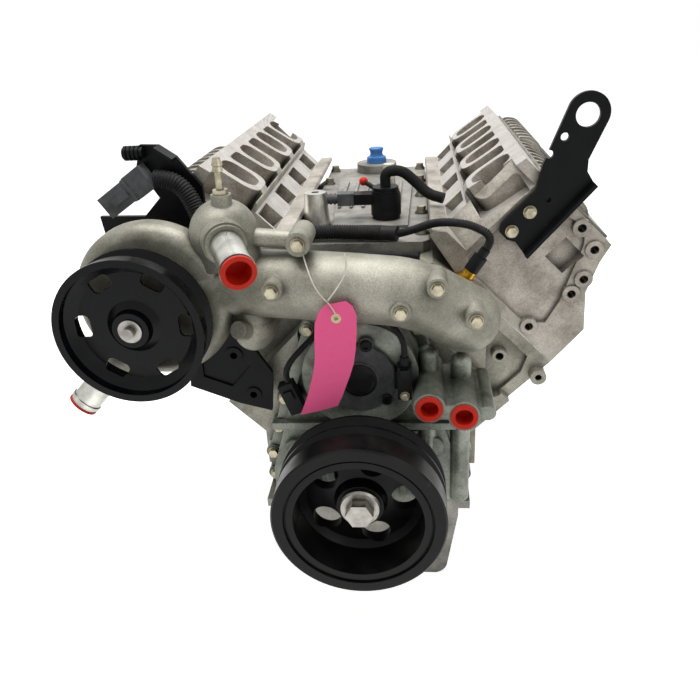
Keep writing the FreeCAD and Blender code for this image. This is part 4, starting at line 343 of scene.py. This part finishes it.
nodeFinish = {
    "engine_block": "blockCasting", "cylinder_head_right": "headCasting",
    "cylinder_head_left": "headCasting", "valve_cover_right": "valveCoverCasting",
    "valve_cover_left": "valveCoverCasting", "front_cover": "coverCasting",
    "rear_cover": "coverCasting", "oil_pan": "valleyCasting", "valley_cover": "valleyCasting",
    "water_pump_housing": "pumpCasting", "thermostat_housing": "pumpCasting",
    "coolant_nipples": "turnedAluminium", "vent_barb": "zincPlate", "main_caps": "castIron",
    "bearing_shells": "turnedAluminium", "head_gaskets": "groundSteel",
    "spark_plugs": "groundSteel", "crankshaft": "castIron", "camshaft": "groundSteel",
    "crank_sprocket": "groundSteel", "cam_phaser": "groundSteel", "timing_chain": "groundSteel",
    "oil_pump": "coverCasting", "crank_seals": "rubber", "balancer_rim": "balancerEnamel",
    "balancer_hub": "balancerEnamel", "balancer_rubber": "rubber", "crank_bolt": "groundSteel",
    "pump_pulley": "pulleyEnamel", "pump_shaft": "groundSteel", "cam_actuator": "greyNylon",
    "cam_sensor": "blackNylon", "position_sensor": "blackNylon", "valley_posts": "turnedAluminium",
    "breather_cap": "milkyPlastic", "rear_port_cap": "blueCapPlastic",
    "purge_solenoid": "blackNylon", "solenoid_plug": "greyNylon", "purge_hose": "rubber",
    "main_loom": "conduitPlastic", "loom_branches": "conduitPlastic",
    "side_conduit": "conduitPlastic", "temperature_sensor": "brass", "sensor_plug": "blackNylon",
    "lift_bracket": "bracketEnamel", "accessory_bracket": "bracketEnamel",
    "harness_bracket": "bracketEnamel", "harness_connector": "greyNylon",
    "flange_screws": "zincPlate", "hang_tag": "tagBoard", "shipping_caps": "redCapPlastic",
    "tag_string": "cottonString",
}


def dress(node, material):
    mesh = cad[node].data
    mesh.materials.clear()
    mesh.materials.append(material)


for node in cad:
    dress(node, finishes[nodeFinish.get(node, "turnedAluminium")])
print("frame nodes dressed")


# Places are written in millimetres in the engine's frame: x to the left bank, -y to the front
def inMetres(point):
    return Vector(point) * mm


def meshObject(name, mesh, finish):
    piece = bpy.data.objects.new(name, mesh)
    bpy.context.scene.collection.objects.link(piece)
    mesh.materials.append(finishes[finish])
    return piece


def smoothShade(mesh, angle=35):
    for face in mesh.polygons:
        face.use_smooth = True
    mesh.set_sharp_from_angle(angle=math.radians(angle))


def turned(name, profile, place, axis, finish, sides=32):
    # a turned part: (radius, height) pairs in mm, spun about its axis
    bm = bmesh.new()
    rings = []
    for radius, height in profile:
        if radius == 0:
            rings.append([bm.verts.new((0, 0, height * mm))])
            continue
        ring = []
        for i in range(sides):
            turn = 2 * math.pi * i / sides
            ring.append(bm.verts.new((radius * mm * math.cos(turn), radius * mm * math.sin(turn),
                                      height * mm)))
        rings.append(ring)
    for low, high in zip(rings, rings[1:]):
        for i in range(sides):
            j = (i + 1) % sides
            corners = [low[i % len(low)], low[j % len(low)], high[j % len(high)],
                       high[i % len(high)]]
            bm.faces.new(list(dict.fromkeys(corners)))
    if len(rings[0]) > 1:
        bm.faces.new(list(reversed(rings[0])))
    if len(rings[-1]) > 1:
        bm.faces.new(rings[-1])
    bmesh.ops.recalc_face_normals(bm, faces=bm.faces)
    mesh = bpy.data.meshes.new(name)
    bm.to_mesh(mesh)
    bm.free()
    smoothShade(mesh)
    piece = meshObject(name, mesh, finish)
    piece.rotation_euler = Vector(axis).to_track_quat("Z", "Y").to_euler()
    piece.location = inMetres(place)
    return piece


def routeCurve(name, route, radiusMm=0.0):
    # one open spline drawn by its control points, so it bends smoothly between them
    data = bpy.data.curves.new(name, "CURVE")
    data.dimensions = "3D"
    spline = data.splines.new("NURBS")
    spline.points.add(len(route) - 1)
    for point, place in zip(spline.points, route):
        point.co = (*inMetres(place), 1)
    spline.order_u = 3
    spline.use_endpoint_u = True
    data.resolution_u = 16
    data.bevel_depth = radiusMm * mm
    data.bevel_resolution = 3
    data.use_fill_caps = True
    curve = bpy.data.objects.new(name, data)
    bpy.context.scene.collection.objects.link(curve)
    return curve


def pointsAlong(route, stepMm):
    # even steps along the route's spline
    curve = routeCurve("route", route)
    line = bpy.data.meshes.new_from_object(curve)
    points = [vertex.co.copy() for vertex in line.vertices]
    bpy.data.objects.remove(curve)
    walked = [0.0]
    for a, b in zip(points, points[1:]):
        walked.append(walked[-1] + (b - a).length)
    count = max(2, round(walked[-1] / (stepMm * mm)))
    even = []
    k = 0
    for i in range(count + 1):
        want = walked[-1] * i / count
        while k < len(points) - 2 and walked[k + 1] < want:
            k += 1
        share = (want - walked[k]) / max(walked[k + 1] - walked[k], 1e-9)
        even.append(points[k].lerp(points[k + 1], min(share, 1)))
    return even


def sleeve(name, route, look, finish, sides=20):
    # a convoluted conduit: crests at the tube's own radius, and plain where it is taped
    points = pointsAlong(route, look["pitchMm"] / 4)
    last = len(points) - 1
    side = None
    bm = bmesh.new()
    rings = []
    for i, point in enumerate(points):
        along = (points[min(i + 1, last)] - points[max(i - 1, 0)]).normalized()
        if side is None:
            side = along.orthogonal().normalized()
        side = (side - along * side.dot(along)).normalized()
        other = along.cross(side)
        taped = any(low <= i / last <= high for low, high in look.get("taped", []))
        inset = 0.25 * look["depthMm"] if taped else look["depthMm"] * (i % 4 in (0, 1))
        radius = (look["radiusMm"] - inset) * mm
        ring = []
        for k in range(sides):
            turn = 2 * math.pi * k / sides
            out = side * math.cos(turn) + other * math.sin(turn)
            ring.append(bm.verts.new(point + out * radius))
        rings.append(ring)
    for low, high in zip(rings, rings[1:]):
        for k in range(sides):
            j = (k + 1) % sides
            bm.faces.new((low[k], low[j], high[j], high[k]))
    bm.faces.new(list(reversed(rings[0])))
    bm.faces.new(rings[-1])
    bmesh.ops.recalc_face_normals(bm, faces=bm.faces)
    mesh = bpy.data.meshes.new(name)
    bm.to_mesh(mesh)
    bm.free()
    smoothShade(mesh, 70)
    return meshObject(name, mesh, finish)


def joined(name, pieces):
    bpy.ops.object.select_all(action="DESELECT")
    for piece in pieces:
        piece.select_set(True)
    bpy.context.view_layer.objects.active = pieces[0]
    bpy.ops.object.join()
    pieces[0].name = name
    bpy.ops.object.select_all(action="DESELECT")
    return pieces[0]


def settle(piece, nodes=(), body="long_block"):
    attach(piece, body)
    if nodes:
        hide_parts(*nodes)
    return piece


# The harness lies in convoluted conduit, taped where it branches
harness = {
    "main": [(-81, -449, 261.8), (-50, -446, 262.8), (-10, -449, 261.8), (26, -456, 262.8),
             (44, -462, 262.8)],
    "branch": [(45.5, -462.4, 262.8), (64, -469, 268.8), (86, -485, 281.8), (110, -499, 285.8),
               (132, -505, 282.8), (154.6, -512, 270.4), (145.8, -512, 257)],
    "lower": [(-66, -482, 243.3), (-30, -480, 243.3), (10, -483, 243.3), (46, -487, 243.3),
              (70, -493, 243.3)],
    "side": [(-236.3, -489, 344), (-220, -489, 344), (-202, -491, 332), (-188, -497, 306),
             (-178, -508, 280)],
    "mainLook": {"radiusMm": 9.5, "depthMm": 1.3, "pitchMm": 3.2, "taped": [(0.84, 1.0)]},
    "branchLook": {"radiusMm": 5, "depthMm": 0.7, "pitchMm": 2.4, "taped": [(0, 0.16)]},
    "sideLook": {"radiusMm": 11, "depthMm": 1.4, "pitchMm": 3.4},
}


def makeHarness():
    main = sleeve("harness_conduit", harness["main"], harness["mainLook"], "conduitPlastic")
    settle(main, ["main_loom"])
    branch = sleeve("sensor_branch", harness["branch"], harness["branchLook"], "conduitPlastic")
    lower = sleeve("lower_branch", harness["lower"], harness["branchLook"], "conduitPlastic")
    settle(joined("branch_conduits", [branch, lower]), ["loom_branches"])
    side = sleeve("alternator_conduit", harness["side"], harness["sideLook"], "conduitPlastic")
    settle(side, ["side_conduit"])


makeHarness()
print("harness made")


# The tag hangs from two strands of one string, tied at a fork below the pump's bolt bosses
tag = {
    # left and right edge from the top row down, with the row's height
    "rows": [(239, -28, -6), (232, -35.5, 1), (221, -39.6, 4.6), (202, -41, 4), (183, -41.6, 2),
             (166, -44.6, -0.8), (150, -49, -6), (138, -52.6, -10.6), (123, -58.4, -16),
             (110, -63.4, -22)],
    "top": 239, "length": 135, "middle": -20, "lean": 0.35, "leanFrom": 230, "halfWidth": 24,
    "tilt": 0.2, "y": -622.5, "bow": 5.5, "curl": 2.6, "thickness": 0.5, "columns": 10,
    "eyelet": (-16.8, 222.6), "holeRadius": 2.3, "ringRadius": 5.2,
    "string": [(-50, -600.9, 285), (-43, -617, 268), (-33, -626, 250), (-20, -625, 236),
               (-17, -624.5, 226)],
    "secondStrand": [(-6, -604, 286), (-3.5, -612, 272), (-11, -621, 258), (-24, -625.5, 243)],
    "stringRadius": 0.8,
}


def tagDepth(x, z):
    # how far forward the card stands at a place on it: it bows down its length and curls
    down = (tag["top"] - z) / tag["length"]
    middle = tag["middle"] - tag["lean"] * (tag["leanFrom"] - z)
    across = (x - middle) / tag["halfWidth"]
    return tag["y"] - tag["bow"] * math.sin(math.pi * min(max(down, 0), 1)) \
        + tag["curl"] * across * across * down


def makeTagCard():
    bm = bmesh.new()
    rows = []
    for height, left, right in tag["rows"]:
        row = []
        for i in range(tag["columns"] + 1):
            share = i / tag["columns"]
            x = left + (right - left) * share
            z = height + tag["tilt"] * (right - left) * (share - 0.5)
            row.append(bm.verts.new(inMetres((x, tagDepth(x, z), z))))
        rows.append(row)
    for high, low in zip(rows, rows[1:]):
        for i in range(tag["columns"]):
            bm.faces.new((high[i], low[i], low[i + 1], high[i + 1]))
    mesh = bpy.data.meshes.new("tag_card")
    bm.to_mesh(mesh)
    bm.free()
    smoothShade(mesh, 60)
    card = meshObject("tag_card", mesh, "tagBoard")
    thick = card.modifiers.new("board", "SOLIDIFY")
    thick.thickness = tag["thickness"] * mm
    thick.offset = 1
    x, z = tag["eyelet"]
    depth = tagDepth(x, z)
    punch = turned("punch", [(tag["holeRadius"], -6), (tag["holeRadius"], 6)], (x, depth, z),
                   (0, -1, 0), "tagBoard", 20)
    hole = card.modifiers.new("hole", "BOOLEAN")
    hole.object = punch
    hole.solver = "EXACT"
    bpy.context.view_layer.update()
    graph = bpy.context.evaluated_depsgraph_get()
    cut = bpy.data.meshes.new_from_object(card.evaluated_get(graph))
    card.modifiers.clear()
    card.data = cut
    smoothShade(cut, 40)
    bpy.data.objects.remove(punch)
    ring = [(tag["holeRadius"], 0.2), (tag["ringRadius"], 0.2), (tag["ringRadius"], 1.0),
            (tag["holeRadius"] + 0.4, 1.2), (tag["holeRadius"], 1.0)]
    eyelet = turned("tag_eyelet", ring + [ring[0]], (x, depth + 0.1, z), (0.05, -1, 0.08),
                    "eyeletBoard", 28)
    settle(card, ["hang_tag"])
    settle(eyelet)
    return eyelet


def makeStrings(eyelet):
    first = routeCurve("hanging_string", tag["string"], tag["stringRadius"])
    first.data.materials.append(finishes["cottonString"])
    settle(first, ["tag_string"])
    second = routeCurve("second_strand", tag["secondStrand"], tag["stringRadius"])
    second.data.materials.append(finishes["cottonString"])
    settle(second)


makeStrings(makeTagCard())
print("tag made")


# Small fittings on the front cover and the valley
fittings = {
    "torxPlaces": [(9, 168), (31, 99), (-38, 109)], "torxFace": -577.2,
    "torxProfile": [(7, 0), (7, 2.4), (5.6, 3.8), (3.1, 3.9), (3.1, 1.6), (0, 1.6)],
    "capPlace": (0, -580.2, 125),
    "capGroove": [(20.5, 0), (20.5, 1.1), (17, 1.6), (15.5, 3.2), (0, 3.6)],
    "sensorWire": [(52, -589, 160), (53, -590, 171), (49, -587, 183), (40, -579, 193),
                   (30, -568, 199)],
    "leftWire": [(-83, -583, 127), (-84, -588, 140), (-77, -588, 154), (-63, -582, 168),
                 (-50, -572, 178), (-42, -564, 184)],
    "wireLook": {"radiusMm": 3.6, "depthMm": 0.5, "pitchMm": 2.2},
    "screwPlace": (52, -593.2, 112),
    "screwProfile": [(5.6, 0), (5.6, 0.8), (4.4, 0.9), (4.4, 4), (3.4, 4.8), (0, 4.8)],
}


def makeFrontFittings():
    screws = [turned("torx_screw", fittings["torxProfile"], (x, fittings["torxFace"], z),
                     (0, -1, 0), "blackNylon", 24) for x, z in fittings["torxPlaces"]]
    settle(joined("actuator_screws", screws))
    cap = turned("actuator_cap", fittings["capGroove"], fittings["capPlace"], (0, -1, 0),
                 "blackNylon", 48)
    settle(cap)
    screw = turned("sensor_screw", fittings["screwProfile"], fittings["screwPlace"],
                   (0, -1, 0), "zincPlate", 24)
    settle(screw)
    for name, key in (("camshaft_sensor_lead", "sensorWire"), ("front_sensor_lead", "leftWire")):
        lead = sleeve(name, fittings[key], fittings["wireLook"], "conduitPlastic", 12)
        settle(lead)


makeFrontFittings()


# The rear port's cap is a soft sleeve, crumpled where it was pushed on
softCap = {
    "place": (0, -60, 270), "seed": 7, "height": 25, "folds": 9,
    "profile": [(16.5, 0), (17, 4), (16.4, 9.5), (12, 11.5), (10.6, 15), (11.2, 19), (12.8, 22.5),
                (12.2, 24.6), (7, 24.9), (0, 24.2)],
}


def makeSoftCap():
    dice = random.Random(softCap["seed"])
    depths = [dice.uniform(0.3, 1.0) for fold in range(softCap["folds"])]
    cap = turned("soft_port_cap", softCap["profile"], softCap["place"], (0, 0, 1),
                 "blueCapPlastic", 54)
    for vertex in cap.data.vertices:
        turn = math.atan2(vertex.co.y, vertex.co.x) / (2 * math.pi) + 0.5
        fold = depths[int(turn * softCap["folds"]) % softCap["folds"]]
        ridge = math.cos(2 * math.pi * turn * softCap["folds"])
        height = vertex.co.z / (softCap["height"] * mm)
        squeeze = 1 - 0.11 * fold * (1 + ridge) * height
        vertex.co.x *= squeeze
        vertex.co.y *= squeeze
    settle(cap, ["rear_port_cap"])


makeSoftCap()
print("fittings made")


# Metres and watts; the lamps all look at the middle of the engine
studio = {
    "floorSize": 14.0, "floorColour": "#F4F4F2", "floorGlow": 0.8, "worldDiffuse": 0.22,
    "lamps": {
        # place, where it points, size and power
        "key": ((-0.5, -0.7, 2.4), (0, -0.3, 0.1), 1.5, 42),
        "fill": ((1.5, -1.5, 1.2), (0, -0.3, 0.1), 1.2, 7),
        "top": ((0.3, 0.3, 2.3), (0, -0.25, 0.2), 1.5, 26),
    },
    "cameraPlace": (0.0673, -1.2864, 0.5117), "cameraTurn": (64.96, 2.92, 4.73),
    "lens": 36.08, "sensor": 36,
}


def makeStage():
    bpy.ops.mesh.primitive_plane_add(size=studio["floorSize"], location=(0, 0, cadBox[0][2]))
    floor = bpy.context.object
    floor.name = "floor"
    material, tree, shader = newMaterial("Painted studio floor", {
        "Base Color": linear(studio["floorColour"]), "Roughness": 0.9,
        "Specular IOR Level": 0.1})
    ray = addNode(tree, "LightPath")
    seen = mathNode(tree, "MAXIMUM", ray.outputs["Is Camera Ray"], ray.outputs["Is Glossy Ray"])
    glow = mathNode(tree, "MULTIPLY", seen, studio["floorGlow"])
    tree.links.new(glow, shader.inputs["Emission Strength"])
    shader.inputs["Emission Color"].default_value = (1, 1, 1, 1)
    floor.data.materials.append(material)


def makeWorld():
    world = bpy.data.worlds.new("Studio")
    bpy.context.scene.world = world
    world.use_nodes = True
    tree = world.node_tree
    tree.nodes.clear()
    ray = addNode(tree, "LightPath")
    seen = mathNode(tree, "MAXIMUM", ray.outputs["Is Camera Ray"], ray.outputs["Is Glossy Ray"])
    seen = mathNode(tree, "MAXIMUM", seen, ray.outputs["Is Transmission Ray"])
    strength = stretch(tree, seen, 0, 1, studio["worldDiffuse"], 1.0)
    back = addNode(tree, "Background", values={"Color": (1, 1, 1, 1)},
                   links={"Strength": strength})
    addNode(tree, "OutputWorld", links={"Surface": back.outputs["Background"]})


def areaLamp(name, place, target, size, watts):
    data = bpy.data.lights.new(name, "AREA")
    data.shape = "DISK"
    data.size = size
    data.energy = watts
    lamp = bpy.data.objects.new(name, data)
    bpy.context.scene.collection.objects.link(lamp)
    lamp.location = place
    lamp.rotation_euler = (Vector(target) - Vector(place)).to_track_quat("-Z", "Y").to_euler()


def makeCamera():
    data = bpy.data.cameras.new("Camera")
    data.sensor_fit = "HORIZONTAL"
    data.sensor_width = studio["sensor"]
    data.lens = studio["lens"]
    camera = bpy.data.objects.new("Camera", data)
    bpy.context.scene.collection.objects.link(camera)
    camera.location = studio["cameraPlace"]
    camera.rotation_euler = [math.radians(angle) for angle in studio["cameraTurn"]]
    bpy.context.scene.camera = camera


makeStage()
makeWorld()
for lampName, lampValues in studio["lamps"].items():
    areaLamp(lampName, *lampValues)
makeCamera()
print("studio made")
bpy.context.scene.view_settings.view_transform = "Standard"
